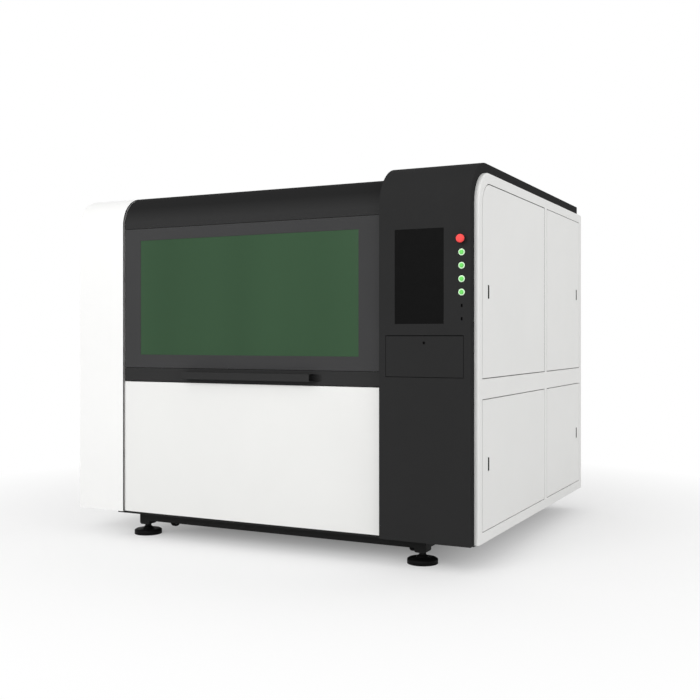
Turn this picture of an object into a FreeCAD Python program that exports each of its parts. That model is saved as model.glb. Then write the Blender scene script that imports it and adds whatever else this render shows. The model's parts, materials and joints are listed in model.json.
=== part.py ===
import FreeCAD, Part
import math
import os

# Enclosed sheet laser cutting machine.  Millimetres, +Z up, +X to the operator's right, -Y towards the
# operator.  Z = 0 is the floor, and X = Y = 0 is the middle of the machine's plan.

V = FreeCAD.Vector
os.makedirs("parts", exist_ok=True)

# ---------------------------------------------------------------- driving dimensions
# body
DOOR_WIDTH = 1467.0          # hood and window cell, between the left casing and the column
LEFT_CASING_WIDTH = 287.0    # white end casing left of the hood
COLUMN_WIDTH = 428.0         # black control column
SIDE_DEPTH = 22.0            # thickness of the white right side frame
BODY_DEPTH = 1890.0          # front of the column to the rear panel
COLUMN_PROUD = 46.0          # the column stands this far in front of and above the body
COLUMN_TOP = 1788.0
COLUMN_RADIUS = 200.0
BODY_RADIUS = 150.0
FLOOR_GAP = 123.0            # floor to the underside of the cabinet
FRONT_LIFT = 5.0             # the front panel ends this far above the underside
COLUMN_REAR_STEP = 12.0      # the column cover ends this far before the rear panel
SHEET = 2.0
FOLD = 25.0                  # depth of the folded edges of the front panels
SEAM = 4.0                   # shut line between neighbouring panels
EDGE_ROUND = 18.0            # rounded left edge of the hood and the front panels
SIDE_ROUND = 12.0            # rounded outer edge of the right side frame
RIB_FRONT = 66.0             # depth of the portal rib at the casing's edge, behind the front
RIB_TOP = 205.0              # and under the roof
RIB_CORNER = 30.0            # rounding of the rib's inner corner
COLUMN_LAP = 20.0            # the column's side flange overlaps the partition by this

# front door
SEAM_DROP = 174.0            # line between the hood and the window panel, below the body's top
BAND_TOP = 863.0             # lower band of the door, with the handle on it
BAND_BOTTOM = 795.0
WINDOW_SILL = 63.0           # window's lower edge above the band
WINDOW_HEAD = 57.0           # window's upper edge below the seam
WINDOW_LEFT = 108.0          # window edge from the door's left edge
WINDOW_RIGHT = 121.0
WINDOW_ROUND = 4.0
GLASS_THICKNESS = 6.0
GLASS_LAP = 14.0
HINGE_FROM_FRONT = 604.0     # hinge line of the hood behind the body's front plane
HINGE_RISE = 7.0             # hinge line above the roof
HINGE_BARREL = 6.0
HINGE_PIN = 3.0
HINGE_LENGTH = 120.0
HINGE_COUNT = 3
LEAF = 3.0
LEAF_WIDTH = 45.0
HANDLE_LEFT = 395.0          # handle's left end from the door's left edge
HANDLE_LENGTH = 713.0
HANDLE_DROP = 16.0           # handle below the band's top
HANDLE_HEIGHT = 36.0
HANDLE_DEPTH = 40.0
HANDLE_WALL = 4.0
DOOR_BAR = 5.0               # flat-bar frame behind the door's folded panels
DOOR_BAR_WIDTH = 40.0

# gas springs of the front door
STRUT_HOOD_PIN = (-149.7, -76.2)   # Y, Z from the hood's hinge line, door shut
STRUT_BASE_PIN = (28.7, -166.6)
STRUT_FROM_SIDE = 24.0             # strut centre line from the chamber's side
STUD_WASHER = 6.0
TAB_THICK = 4.0                    # plate under the hood for the upper stud
TAB_HALF = 25.0
TAB_LAP = 20.0
STRUT_STUD = 4.0
STRUT_PIN_CLEARANCE = 4.6          # open pivot: room for the part of the motion that is not linear
STRUT_TUBE = 12.0
STRUT_BORE = 10.0
STRUT_ROD = 4.0
STRUT_TUBE_START = 18.0
STRUT_TUBE_LENGTH = 142.0
STRUT_GUIDE = 10.0
STRUT_EYE_WIDTH = 10.0
RUN = 0.05                         # radial running clearance

# control column
SCREEN_WIDTH = 230.0
SCREEN_HEIGHT = 414.0
SCREEN_LEFT = 76.0                 # from the column's left edge
SCREEN_DROP = 298.0                # screen's upper edge below the column's top
SCREEN_BODY_MARGIN = 20.0
SCREEN_BODY_DEPTH = 46.0
BUTTON_FROM_RIGHT = 40.0
STOP_DROP = 349.5                  # emergency stop below the column's top
BUTTON_PITCH = 57.0
BUTTON_COUNT = 4
BUTTON_RADIUS = 9.0
BUTTON_PROUD = 5.0
COLLAR_RADIUS = 14.5
COLLAR_PROUD = 3.0
CONTACT_BLOCK = 11.0               # radius of the contact block behind the cover
CONTACT_DEPTH = 42.0
STOP_RADIUS = 18.5
STOP_PROUD = 30.0
STOP_HEAD = 16.0
STOP_STEM = 8.0
STOP_COLLAR = 15.0
SOCKET_WIDTH = 6.0                 # mouth of a data socket
SOCKET_HEIGHT = 12.0
SOCKET_WALL = 1.0
SOCKET_DEPTH = 16.0
SOCKET_DROP = 285.0                # upper data socket below the emergency stop
SOCKET_COUNT = 2
FLAP_WIDTH = 366.0
FLAP_HEIGHT = 184.0
FLAP_DROP = 50.0                   # flap's opening below the screen
FLAP_LEFT = 31.0                   # from the column's left edge
FLAP_GAP = 2.0
FLAP_TOP_GAP = 3.5
FLAP_FOLD = 14.0
FLAP_AXIS = 5.0                    # hinge line in from the flap's lower outer edge
FLAP_PIN = 2.5
FLAP_BLOCK = 14.0
BOX_DEPTH = 60.0
BOX_MARGIN = 12.0                  # the box is this much wider than the flap's opening, all round
BOX_FLANGE = 10.0
KEYBOARD_WIDTH = 320.0
KEYBOARD_HEIGHT = 118.0
KEYBOARD_THICK = 14.0
KEY_ROWS = 5
KEY_COLUMNS = 15
KEY_PITCH = 19.0
KEY_SIZE = 15.5
KEY_RISE = 3.5
LOCK_RADIUS = 6.0
LOCK_DROP = 29.5                   # lock centre below the flap's top edge
LOCK_ARM = 38.0

# right side doors
DOOR_FRONT = 46.0                  # free edge of the front doors behind the body's front plane
FRONT_DOOR_WIDTH = 990.0
POST_WIDTH = 51.0                  # between the two pairs of doors
REAR_MARGIN = 51.0                 # rear doors' free edge before the rear panel
LOWER_DOOR_RISE = 53.0             # lower doors above the cabinet's underside
LOWER_DOOR_HIGH = 745.0
UPPER_DOOR_LOW = 840.0
UPPER_DOOR_DROP = 54.0             # upper doors' top below the body's top
UPPER_DOOR_CORNER = 100.0
SIDE_GAP = 4.0
DOOR_DEPTH = 20.0
PIVOT_IN = 8.0                     # hinge pin from the door's edge and from its face
PIVOT_PIN = 4.0
PIVOT_ARM = 4.0
ARM_NOTCH = 16.0
LATCH_FROM_FRONT = 82.0            # latch from the free edge, front doors
LATCH_FROM_REAR = 66.0             # and rear doors
LATCH_DROP = 47.0                  # the upper front latch sits this far below mid height
LATCH_HEIGHT = 60.0
LATCH_WIDTH = 18.0
LATCH_SLACK = 0.5
LATCH_THICK = 10.0
LATCH_AXIS_UP = 20.0
LATCH_PIN = 3.0
LATCH_BAR = 8.0
EAR = 3.0
KEEPER = 3.0
KEEPER_LAP = 10.0

# base
PLATE = 6.0                        # base plate
RAIL_HEIGHT = 46.0
RAIL_WIDTH = 60.0
RAIL_WALL = 5.0
FOOT_FROM_RIGHT = 303.0
FOOT_FROM_LEFT = 366.0
FOOT_FROM_FRONT = 150.0            # behind the column's front, and before the rear panel
FOOT_RADIUS = 70.0
FOOT_THICK = 21.0
FOOT_CHAMFER = 5.0
FOOT_BOSS = 29.0
FOOT_CONE_TOP = 40.0
STUD = 10.0
STUD_BLOCK = 60.0
STUD_BLOCK_LOW = 51.0
STUD_BLOCK_ROUND = 12.0
NUT_FLATS = 30.0
PLATE_INSET_LEFT = 252.0
UPSTAND = 30.0
INNER_RAIL_X = 590.0
GUSSET = 8.0
CASTER_X = 90.0                    # caster pivot in from the foot's centre
CASTER_Y = 95.0
WHEEL_RADIUS = 31.5
WHEEL_WIDTH = 26.0
WHEEL_LIFT = 25.0                  # the wheels hang clear while the feet carry the machine
WHEEL_TRAIL = 18.0
AXLE = 5.0
FORK_PLATE = 3.0
FORK_CROWN = 24.0
FORK_CROWN_THICK = 8.0
FORK_LAND = 4.0                    # metal round the axle
WHEEL_SIDE_GAP = 1.5
TREAD_ROUND = 4.0
TREAD_DEPTH = 10.0
HUB_RECESS = 5.0
KING_PIN = 6.0

# machine bed and motion
BEAM_WIDTH = 120.0
BEAM_HEIGHT = 140.0
BEAM_WALL = 10.0
BEAM_TOP = 780.0
BEAM_LEFT_INSET = 42.0             # outer side of the left beam from the casing's outer side
BEAM_RIGHT_INSET = 14.0            # right beam from the partition
BED_FRONT = 76.0                   # bed's front end behind the body's front plane
BED_LENGTH = 1520.0
CROSS_WIDTH = 80.0
CROSS_HEIGHT = 100.0
LEG = 60.0
LEG_WALL = 5.0
TABLE_LEFT = 202.0                 # slat frame from the casing's outer side
TABLE_RIGHT = 154.0                # and from the partition
TABLE_HEIGHT = 100.0
TABLE_WALL = 20.0
SLAT_COUNT = 20
SLAT_THICK = 3.0
SLAT_HEIGHT = 88.0
SLAT_TOOTH = 22.0
SLAT_TEETH = 34
SLAT_RISE = 5.0                    # tooth tips above the table frame
SLAT_SLOT = 0.3                    # clearance each side of a slat in its slot
GUIDE_WIDTH = 20.0
GUIDE_HEIGHT = 18.0
TRACK_WIDTH = 50.0
TRACK_HEIGHT = 10.0
GUIDE_FROM_EDGE = 25.0
BLOCK_WIDTH = 48.0
BLOCK_LENGTH = 100.0
BLOCK_HEIGHT = 30.0
BLOCK_GAP = 3.0                    # blocks stand this far off the face they run along
SLIDE_CLEAR = 0.3
GANTRY_DEPTH = 120.0
GANTRY_HEIGHT = 150.0
GANTRY_LOW = 860.0
GANTRY_WALL = 8.0
GANTRY_REST = 1330.0               # beam's front at rest behind the body's front plane
CARRIAGE_WIDTH = 180.0
CARRIAGE_HEIGHT = 210.0
CARRIAGE_PLATE = 15.0
CARRIAGE_REST = -210.0
Z_MODULE_WIDTH = 120.0
Z_MODULE_DEPTH = 60.0
Z_MODULE_HEIGHT = 300.0
Z_MODULE_RISE = 20.0               # above the carriage plate's lower edge
Z_MOTOR_HALF = 30.0
Z_MOTOR_HEIGHT = 90.0
Z_SCREW_HOUSING = 26.0
Z_RAIL = 12.0
Z_RAIL_END = 5.0
HEAD_RADIUS = 30.0
HEAD_LENGTH = 190.0
HEAD_ROUND = 8.0
SADDLE_HALF = 48.0
SADDLE_DEPTH = 22.0                # saddle in front of the lift unit's rail
SADDLE_RISE = 60.0
SADDLE_HEIGHT = 110.0
NECK_RADIUS = 24.0
NECK_HEIGHT = 30.0
COLLIMATOR_RADIUS = 21.0
COLLIMATOR_HEIGHT = 90.0
CONNECTOR_RADIUS = 10.0
CONNECTOR_HEIGHT = 40.0
NOZZLE_TIP = 3.0
NOZZLE_BORE = 1.5
NOZZLE_LENGTH = 40.0
NOZZLE_HEIGHT = 830.0              # nozzle tip at rest

# scrap drawer
DRAWER_WIDTH = 1180.0
DRAWER_CENTRE_X = -73.0
DRAWER_HEIGHT = 300.0
DRAWER_LENGTH = 1560.0
DRAWER_LOW = 165.0
DRAWER_GAP = 3.0
RUNNER_WIDTH = 40.0
RUNNER_WALL = 3.0
RUNNER_INSET = 60.0                # runner's outer side from the drawer's side
DRAWER_GRIP = 260.0
GRIP_BAR = 8.0
GRIP_REACH = 45.0

# services
FAN_RADIUS = 125.0
FAN_X = -200.0
FAN_Z = 1180.0
FAN_BOX = 320.0
FAN_DEPTH = 170.0
FAN_WALL = 4.0
FAN_BLADES = 7
FAN_HUB = 38.0
FAN_SHAFT = 8.0
FAN_PLATE = 3.0                    # square end plates of the housing
FAN_TIP_GAP = 5.0
FAN_MOUTH_STEP = 15.0              # radius of the mouth beyond the casing
FAN_MOUTH_DEPTH = 18.0
FAN_TURN = 35.0                    # pitch of the blades, degrees
FAN_BLADE = 3.0
ROTOR_FROM_INLET = 25.0
ROTOR_LENGTH = 60.0
MOTOR_FROM_INLET = 90.0
MOTOR_ARM = 12.0
MOTOR_ARMS = 3
SPIGOT_RADIUS = 100.0
SPIGOT_PROUD = 60.0
SPIGOT_WALL = 4.0
SPIGOT_FLANGE = 118.0
SPIGOT_RELIEF = 2.0                # the neck in the flange is this much thinner
GLAND_RADIUS = 16.0
GLAND_PROUD = 26.0
GLAND_BORE = 9.6
GLAND_RISE = 90.0                  # above the cabinet's underside
GRILLE_SLOTS = 10
GRILLE_SLOT = (220.0, 8.0)
GRILLE_PITCH = 24.0
SIDE_GRILLE_RISE = 180.0
REAR_GRILLE_RISE = 200.0
SOURCE_SIZE = (340.0, 700.0, 380.0)
CHILLER_SIZE = (340.0, 520.0, 540.0)
CHILLER_FROM_REAR = 177.0
CASE_WALL = 3.0
SOURCE_SETBACK = 120.0             # behind the front doors' free edge
SOURCE_EDGE = 60.0                 # vents, grips and outlet from the case's edges
SOURCE_INSET = 40.0
SOURCE_FOOT = (16.0, 13.0)         # radius and height
SOURCE_VENTS = 6
SOURCE_VENT_PITCH = 22.0
SOURCE_VENT_HEIGHT = 8.0
SOURCE_OUTLET = 14.0
SOURCE_GRIP = (12.0, 14.0)         # reach and width
CHILLER_EDGE = 60.0
CHILLER_INSET = 50.0
CHILLER_FOOT = (22.0, 21.0)
CHILLER_CAP = (30.0, 22.0)
CHILLER_CAP_PLACE = 90.0
CHILLER_TAIL = (9.0, 45.0)
CHILLER_TAIL_SPREAD = 40.0
CHILLER_SLOTS = 11
CHILLER_SLOT_PITCH = 30.0
CHILLER_SLOT_HEIGHT = 14.0
CABINET_PLATE = (1250.0, 620.0)
CABINET_PLATE_LOW = 880.0
CABINET_PLATE_SETBACK = 60.0
CABINET_PLATE_THICK = 3.0
# on the cabinet's plate: number, pitch along Y, reach, and the first one's Y and Z ranges
CABINET_UNITS = (
    (4, 110.0, 150.0, (60.0, 130.0), (350.0, 560.0)),      # drives
    (12, 38.0, 65.0, (60.0, 94.0), (200.0, 290.0)),        # breakers
    (1, 0.0, 110.0, (560.0, 760.0), (330.0, 560.0)),       # power supply
    (1, 0.0, 90.0, (820.0, 1080.0), (300.0, 540.0)),       # controller
    (1, 0.0, 45.0, (60.0, 1190.0), (60.0, 130.0)),         # terminals
    (1, 0.0, 60.0, (40.0, 1210.0), (303.0, 328.0)),        # cable duct
)

# ---------------------------------------------------------------- derived places
total_width = LEFT_CASING_WIDTH + DOOR_WIDTH + COLUMN_WIDTH + SIDE_DEPTH
x_left = -total_width / 2
x_door = x_left + LEFT_CASING_WIDTH
x_column = x_door + DOOR_WIDTH
x_side = x_column + COLUMN_WIDTH
x_right = x_side + SIDE_DEPTH
y_column = STOP_PROUD - (STOP_PROUD + BODY_DEPTH + SPIGOT_PROUD) / 2
y_body = y_column + COLUMN_PROUD
y_rear = y_column + BODY_DEPTH
y_hinge = y_body + HINGE_FROM_FRONT
z_body = COLUMN_TOP - COLUMN_PROUD
z_hinge = z_body + HINGE_RISE
z_seam = z_body - SEAM_DROP
z_plate = FLOOR_GAP - PLATE
z_rail = z_plate - RAIL_HEIGHT
x_partition = x_column + SHEET
door_x0 = x_door + SEAM / 2
door_x1 = x_column - SEAM / 2
foot_xs = (x_left + FOOT_FROM_LEFT, x_right - FOOT_FROM_RIGHT)
foot_ys = (y_column + FOOT_FROM_FRONT, y_rear - FOOT_FROM_FRONT)
button_x = x_side - BUTTON_FROM_RIGHT
screen_low = COLUMN_TOP - SCREEN_DROP - SCREEN_HEIGHT
stop_z = COLUMN_TOP - STOP_DROP
flap_high = screen_low - FLAP_DROP
flap_low = flap_high - FLAP_HEIGHT


# ---------------------------------------------------------------- building helpers
def box(x, y, z):
    """Block between three (low, high) pairs."""
    return Part.makeBox(x[1] - x[0], y[1] - y[0], z[1] - z[0], V(x[0], y[0], z[0]))


def bar_x(y, z, radius, x0, x1):
    """Round bar along X."""
    return Part.makeCylinder(radius, x1 - x0, V(x0, y, z), V(1, 0, 0))


def bar_y(x, z, radius, y0, y1):
    """Round bar along Y."""
    return Part.makeCylinder(radius, y1 - y0, V(x, y0, z), V(0, 1, 0))


def bar_z(x, y, radius, z0, z1):
    """Round bar along Z."""
    return Part.makeCylinder(radius, z1 - z0, V(x, y, z0), V(0, 0, 1))


def fuse(first, *others):
    """One solid from overlapping or touching solids."""
    return first.multiFuse(list(others)).removeSplitter()


def cut(solid, *tools):
    """Solid without the tools."""
    return solid.cut(Part.makeCompound(list(tools))) if len(tools) > 1 else solid.cut(tools[0])


def prism_x(face, x0, x1):
    """Face drawn in the YZ plane at X = 0, carried from x0 to x1."""
    return face.translated(V(x0, 0, 0)).extrude(V(x1 - x0, 0, 0))


def polygon(points):
    """Face through points."""
    return Part.Face(Part.makePolygon(points + [points[0]]))


def arc(centre_y, centre_z, radius, start, end):
    """Arc in the YZ plane between two angles in degrees from +Y towards +Z."""
    def at(angle):
        turn = math.radians(angle)
        return V(0, centre_y + radius * math.cos(turn), centre_z + radius * math.sin(turn))
    return Part.Arc(at(start), at((start + end) / 2), at(end)).toShape()


def line(y0, z0, y1, z1):
    """Straight edge in the YZ plane."""
    return Part.LineSegment(V(0, y0, z0), V(0, y1, z1)).toShape()


def quarter_face(front, top, radius, low, rear):
    """Side view of a body with a quarter-round front top edge."""
    return Part.Face(Part.Wire([
        line(front, low, front, top - radius),
        arc(front + radius, top - radius, radius, 180, 90),
        line(front + radius, top, rear, top),
        line(rear, top, rear, low),
        line(rear, low, front, low)]))


def body_face(inset=0.0, low=FLOOR_GAP, rear=0.0):
    """Side view of the body, drawn in by inset at the front and the top."""
    return quarter_face(y_body + inset, z_body - inset, BODY_RADIUS - inset, low, rear)


def column_face(inset=0.0, low=FLOOR_GAP, rear=0.0):
    """Side view of the control column, drawn in by inset at the front and the top."""
    return quarter_face(y_column + inset, COLUMN_TOP - inset, COLUMN_RADIUS - inset, low, rear)


def end_edges(solid, x, low, rear):
    """Edges of the end face at x, without the bottom edge at low and the rear edge."""
    found = []
    for edge in solid.Edges:
        bounds = edge.BoundBox
        flat = bounds.XMax < x + 1e-6 and bounds.XMin > x - 1e-6
        if flat and bounds.ZMax > low + 1e-6 and bounds.YMin < rear - 1e-6:
            found.append(edge)
    return found


def rounded_body(face_maker, inset, x0, x1, low, rear, round_x0=0.0, round_x1=0.0):
    """Body-shaped block whose outer end edges are rounded at x0, at x1 or at both."""
    solid = prism_x(face_maker(inset, low, rear), x0, x1)
    if round_x0 > 0:
        solid = solid.makeFillet(round_x0, end_edges(solid, x0, low, rear))
    if round_x1 > 0:
        solid = solid.makeFillet(round_x1, end_edges(solid, x1, low, rear))
    return solid


def front_block(x0, x1, z0, z1, inset):
    """Upright block behind the body's front plane, with its left front edge rounded."""
    solid = box((x0, x1), (y_body + inset, y_body + FOLD), (z0, z1))
    edges = [e for e in solid.Edges
             if e.BoundBox.XMax < x0 + 1e-6 and e.BoundBox.YMax < y_body + inset + 1e-6]
    return solid.makeFillet(EDGE_ROUND - inset, edges)


def front_pan(z0, z1, open_low=False):
    """Folded front sheet across the door cell, open at the back."""
    inner_low = z0 - SHEET if open_low else z0 + SHEET
    inner = front_block(door_x0 + SHEET, door_x1 - SHEET, inner_low, z1 - SHEET, SHEET)
    return cut(front_block(door_x0, door_x1, z0, z1, 0), inner)


def save(name, *solids):
    """Writes one node, made of one solid or of several like ones."""
    shape = solids[0] if len(solids) == 1 else Part.makeCompound(list(solids))
    shape.exportStep(f"parts/{name}.step")


# ---------------------------------------------------------------- base
def channel_x(y0, x0, x1, web_front):
    """Rail along X: a channel with its web on the front or on the rear side."""
    outer = box((x0, x1), (y0, y0 + RAIL_WIDTH), (z_rail, z_plate))
    shift = RAIL_WALL if web_front else -RAIL_WALL
    hollow = box((x0, x1), (y0 + shift, y0 + RAIL_WIDTH + shift), (z_rail + RAIL_WALL, z_plate - RAIL_WALL))
    return cut(outer, hollow)


def channel_y(x, y0, y1):
    """Rail along Y centred on x: a channel open towards -X."""
    outer = box((x - RAIL_WIDTH / 2, x + RAIL_WIDTH / 2), (y0, y1), (z_rail, z_plate))
    hollow = box((x - RAIL_WIDTH / 2 - RAIL_WALL, x + RAIL_WIDTH / 2 - RAIL_WALL), (y0, y1),
                 (z_rail + RAIL_WALL, z_plate - RAIL_WALL))
    return cut(outer, hollow)


def inward(value, direction, step):
    """Value moved by step along direction."""
    return value + direction * step


def corners():
    """Each corner foot: its place and the directions towards the machine's middle."""
    for x, dx in zip(foot_xs, (1, -1)):
        for y, dy in zip(foot_ys, (1, -1)):
            yield x, y, dx, dy


def stud_block(x, y, low, high):
    """Part of a foot block between two heights."""
    half = STUD_BLOCK / 2
    return box((x - half, x + half), (y - half, y + half), (low, high))


def foot_block(x, y):
    """Foot block under the rail, rounded below."""
    block = stud_block(x, y, STUD_BLOCK_LOW, z_rail)
    low_edges = [e for e in block.Edges if e.BoundBox.ZMax < STUD_BLOCK_LOW + 1e-6
                 and e.BoundBox.YLength > 1]
    return block.makeFillet(STUD_BLOCK_ROUND, low_edges)


def stud_hole(x, y):
    """Bore of the levelling stud."""
    return bar_z(x, y, STUD + RUN, STUD_BLOCK_LOW - 1, z_plate + 1)


def caster_place(x, y, dx, dy):
    """Plan position of the caster near a foot."""
    return inward(x, dx, CASTER_X), inward(y, dy, CASTER_Y)


def gusset(x, y, dx, dy):
    """Plate in the corner between two rails that carries the caster."""
    span_x = (inward(x, dx, RAIL_WIDTH / 2), inward(x, dx, CASTER_X + FORK_CROWN + 10))
    span_y = (inward(y, dy, RAIL_WIDTH / 2), inward(y, dy, CASTER_Y + FORK_CROWN + 10))
    return box(sorted(span_x), sorted(span_y), (z_plate - GUSSET, z_plate))


def fork_legs(x, y, top):
    """Two caster legs and the axle between them, trailing towards +Y."""
    wheel_y, wheel_z = y + WHEEL_TRAIL, WHEEL_LIFT + WHEEL_RADIUS
    half = WHEEL_WIDTH / 2 + WHEEL_SIDE_GAP
    lobe = AXLE + FORK_LAND
    legs = []
    for side in (-1, 1):
        x0, x1 = sorted((x + side * half, x + side * (half + FORK_PLATE)))
        outline = polygon([V(0, y - FORK_CROWN * 0.6, top), V(0, y + FORK_CROWN, top),
                           V(0, wheel_y + lobe, wheel_z), V(0, wheel_y, wheel_z - lobe),
                           V(0, wheel_y - lobe, wheel_z)])
        legs.append(prism_x(outline, x0, x1))
    axle = bar_x(wheel_y, wheel_z, AXLE, x - half - FORK_PLATE, x + half + FORK_PLATE)
    return legs + [axle]


def base_frame():
    """Parts of the welded base: rails, foot blocks, caster plates and the two rigid rear forks."""
    x0, x1 = foot_xs[0] - RAIL_WIDTH / 2, foot_xs[1] + RAIL_WIDTH / 2
    y0, y1 = foot_ys[0] - RAIL_WIDTH / 2, foot_ys[1] + RAIL_WIDTH / 2
    front, rear = channel_x(y0, x0, x1, True), channel_x(y1 - RAIL_WIDTH, x0, x1, False)
    parts = [channel_y(x, y0 + RAIL_WIDTH, y1 - RAIL_WIDTH) for x in (foot_xs[0], INNER_RAIL_X, foot_xs[1])]
    for x, y, dx, dy in corners():
        hole, inner_block = stud_hole(x, y), stud_block(x, y, z_rail, z_plate)
        plate = gusset(x, y, dx, dy)
        cx, cy = caster_place(x, y, dx, dy)
        if dy > 0:
            front = cut(fuse(front, inner_block), hole)
            plate = cut(plate, bar_z(cx, cy, KING_PIN + RUN, z_plate - GUSSET - 1, z_plate + 1))
        else:
            rear = cut(fuse(rear, inner_block), hole)
            crown = bar_z(cx, cy, FORK_CROWN, z_plate - GUSSET - FORK_CROWN_THICK, z_plate - GUSSET)
            plate = fuse(plate, crown, *fork_legs(cx, cy, z_plate - GUSSET))
        parts += [plate, cut(foot_block(x, y), hole)]
    return front, rear, *parts


def levelling_foot(x, y):
    """Foot disc with its cone, stud and lock nut."""
    disc = bar_z(x, y, FOOT_RADIUS, 0, FOOT_THICK)
    bevel = Part.makeCone(FOOT_RADIUS, FOOT_RADIUS - FOOT_CHAMFER * 1.6, FOOT_CHAMFER, V(x, y, FOOT_THICK))
    cone = Part.makeCone(FOOT_BOSS, FOOT_BOSS * 0.6, FOOT_CONE_TOP - FOOT_THICK - FOOT_CHAMFER,
                         V(x, y, FOOT_THICK + FOOT_CHAMFER))
    stud = bar_z(x, y, STUD, FOOT_THICK, z_plate - 4)
    across = NUT_FLATS / math.cos(math.radians(30)) / 2
    ring = [V(x + across * math.cos(math.radians(60 * i)), y + across * math.sin(math.radians(60 * i)),
              FOOT_CONE_TOP) for i in range(6)]
    nut = polygon(ring).extrude(V(0, 0, STUD_BLOCK_LOW - FOOT_CONE_TOP))
    return fuse(disc, bevel, cone, stud, nut)


def base_pan():
    """Base plate with its front upstand and the drawer's two runners."""
    x0, x1 = x_left + PLATE_INSET_LEFT, x_side - SHEET
    plate = box((x0, x1), (y_body + SHEET, y_rear - SHEET), (z_plate, FLOOR_GAP))
    upstand = box((door_x0 + FOLD, door_x1 - FOLD), (y_body + SHEET, y_body + 2 * SHEET),
                  (FLOOR_GAP, FLOOR_GAP + UPSTAND))
    runners = []
    span = (y_rear - DRAWER_LENGTH, y_rear - 2 * SHEET)
    for x in (drawer_x0 + RUNNER_INSET, drawer_x1 - RUNNER_INSET - RUNNER_WIDTH):
        outer = box((x, x + RUNNER_WIDTH), span, (FLOOR_GAP, DRAWER_LOW - SLIDE_CLEAR))
        inner = box((x + RUNNER_WALL, x + RUNNER_WIDTH - RUNNER_WALL), (span[0] - 1, span[1] + 1),
                    (FLOOR_GAP, DRAWER_LOW - SLIDE_CLEAR - RUNNER_WALL))
        runners.append(cut(outer, inner))
    return fuse(plate, upstand, *runners)


drawer_x0 = DRAWER_CENTRE_X - DRAWER_WIDTH / 2
drawer_x1 = DRAWER_CENTRE_X + DRAWER_WIDTH / 2
save("base_frame", *base_frame())
save("levelling_feet", *[levelling_foot(x, y) for x, y, dx, dy in corners()])
save("base_pan", base_pan())


# ---------------------------------------------------------------- casters
def swivel_fork(x, y):
    """Caster fork with its crown and king pin."""
    crown_top = z_plate - GUSSET - SLIDE_CLEAR
    middle = crown_top - FORK_CROWN_THICK / 2
    crown = bar_z(x, y, FORK_CROWN, crown_top - FORK_CROWN_THICK, crown_top)
    pin = bar_z(x, y, KING_PIN, middle, z_plate - 1)
    return fuse(crown, pin, *fork_legs(x, y, middle))


def caster_wheel(x, y):
    """Wheel with its bore, tread crown and hub faces."""
    z = WHEEL_LIFT + WHEEL_RADIUS
    half = WHEEL_WIDTH / 2
    wheel = bar_x(y, z, WHEEL_RADIUS, x - half, x + half)
    wheel = wheel.makeFillet(TREAD_ROUND, [e for e in wheel.Edges if e.BoundBox.XLength < 1e-6])
    recess = [bar_x(y, z, WHEEL_RADIUS - TREAD_DEPTH, x - half - 1, x - half + HUB_RECESS),
              bar_x(y, z, WHEEL_RADIUS - TREAD_DEPTH, x + half - HUB_RECESS, x + half + 1)]
    hub = bar_x(y, z, 2 * AXLE, x - half, x + half)
    return cut(fuse(cut(wheel, *recess), hub), bar_x(y, z, AXLE + RUN, x - half - 1, x + half + 1))


for name, (x, y, dx, dy) in zip(("front_left", "rear_left", "front_right", "rear_right"), corners()):
    cx, cy = caster_place(x, y, dx, dy)
    if dy > 0:
        save(f"caster_fork_{name}", swivel_fork(cx, cy))
    save(f"caster_wheel_{name}", caster_wheel(cx, cy + WHEEL_TRAIL))


# ---------------------------------------------------------------- enclosure
def left_end_cover():
    """White casing left of the hood: front, quarter-round and roof in one sheet, with a portal rib."""
    x1 = x_door - SEAM / 2
    rear = y_rear - SHEET
    skin = cut(prism_x(body_face(0, FLOOR_GAP, rear), x_left, x1),
               prism_x(body_face(SHEET, FLOOR_GAP - 1, rear + 1), x_left - 1, x1 + 1))
    rib_hole = quarter_face(y_body + RIB_FRONT, z_body - RIB_TOP, RIB_CORNER, FLOOR_GAP - 1, rear + 1)
    rib = cut(prism_x(body_face(0, FLOOR_GAP, rear), x1 - SHEET, x1),
              prism_x(rib_hole, x1 - SHEET - 1, x1 + 1))
    return fuse(skin, rib)


def strut_stud(wall_x, direction):
    """Stud of a gas spring's lower eye, welded with its washer to the chamber's side wall at wall_x."""
    y, z = y_hinge + STRUT_BASE_PIN[0], z_hinge + STRUT_BASE_PIN[1]
    door_edge = door_x0 if direction > 0 else door_x1
    tip = door_edge + direction * (STRUT_FROM_SIDE + STRUT_EYE_WIDTH)
    stud = bar_x(y, z, STRUT_STUD, *sorted((wall_x, tip)))
    washer = bar_x(y, z, STRUT_TUBE, *sorted((wall_x, wall_x + direction * STUD_WASHER)))
    return fuse(stud, washer)


def left_side_panel():
    """Flat left wall with louvre slots and a turned-in bottom flange."""
    rear = y_rear - SHEET
    wall = prism_x(body_face(SHEET, FLOOR_GAP, rear), x_left, x_left + SHEET)
    flange = box((x_left, x_left + PLATE_INSET_LEFT + FOLD), (y_body + SHEET, rear),
                 (FLOOR_GAP, FLOOR_GAP + SHEET))
    length, height = GRILLE_SLOT
    slots = []
    for y in (-1.5 * length, 1.5 * length):
        for row in range(GRILLE_SLOTS):
            z = FLOOR_GAP + SIDE_GRILLE_RISE + row * GRILLE_PITCH
            slots.append(box((x_left - 1, x_left + SHEET + 1), (y - length / 2, y + length / 2),
                             (z, z + height)))
    return fuse(cut(wall, *slots), flange)


def roof_panel():
    """Roof sheet behind the hood, turned down at the hinge line, with a strip behind the column."""
    y0, y1 = y_hinge + SHEET, y_rear - SHEET
    z0, z1 = z_body - SHEET, z_body
    x0 = x_door - SEAM / 2
    main = box((x0, x_column), (y0, y1), (z0, z1))
    lip = box((x0, x_column), (y0, y0 + LEAF), (z1 - FOLD, z1))
    strip = box((x_column, x_side), (y_rear - COLUMN_REAR_STEP, y1), (z0, z1))
    return fuse(main, lip, strip)


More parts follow.
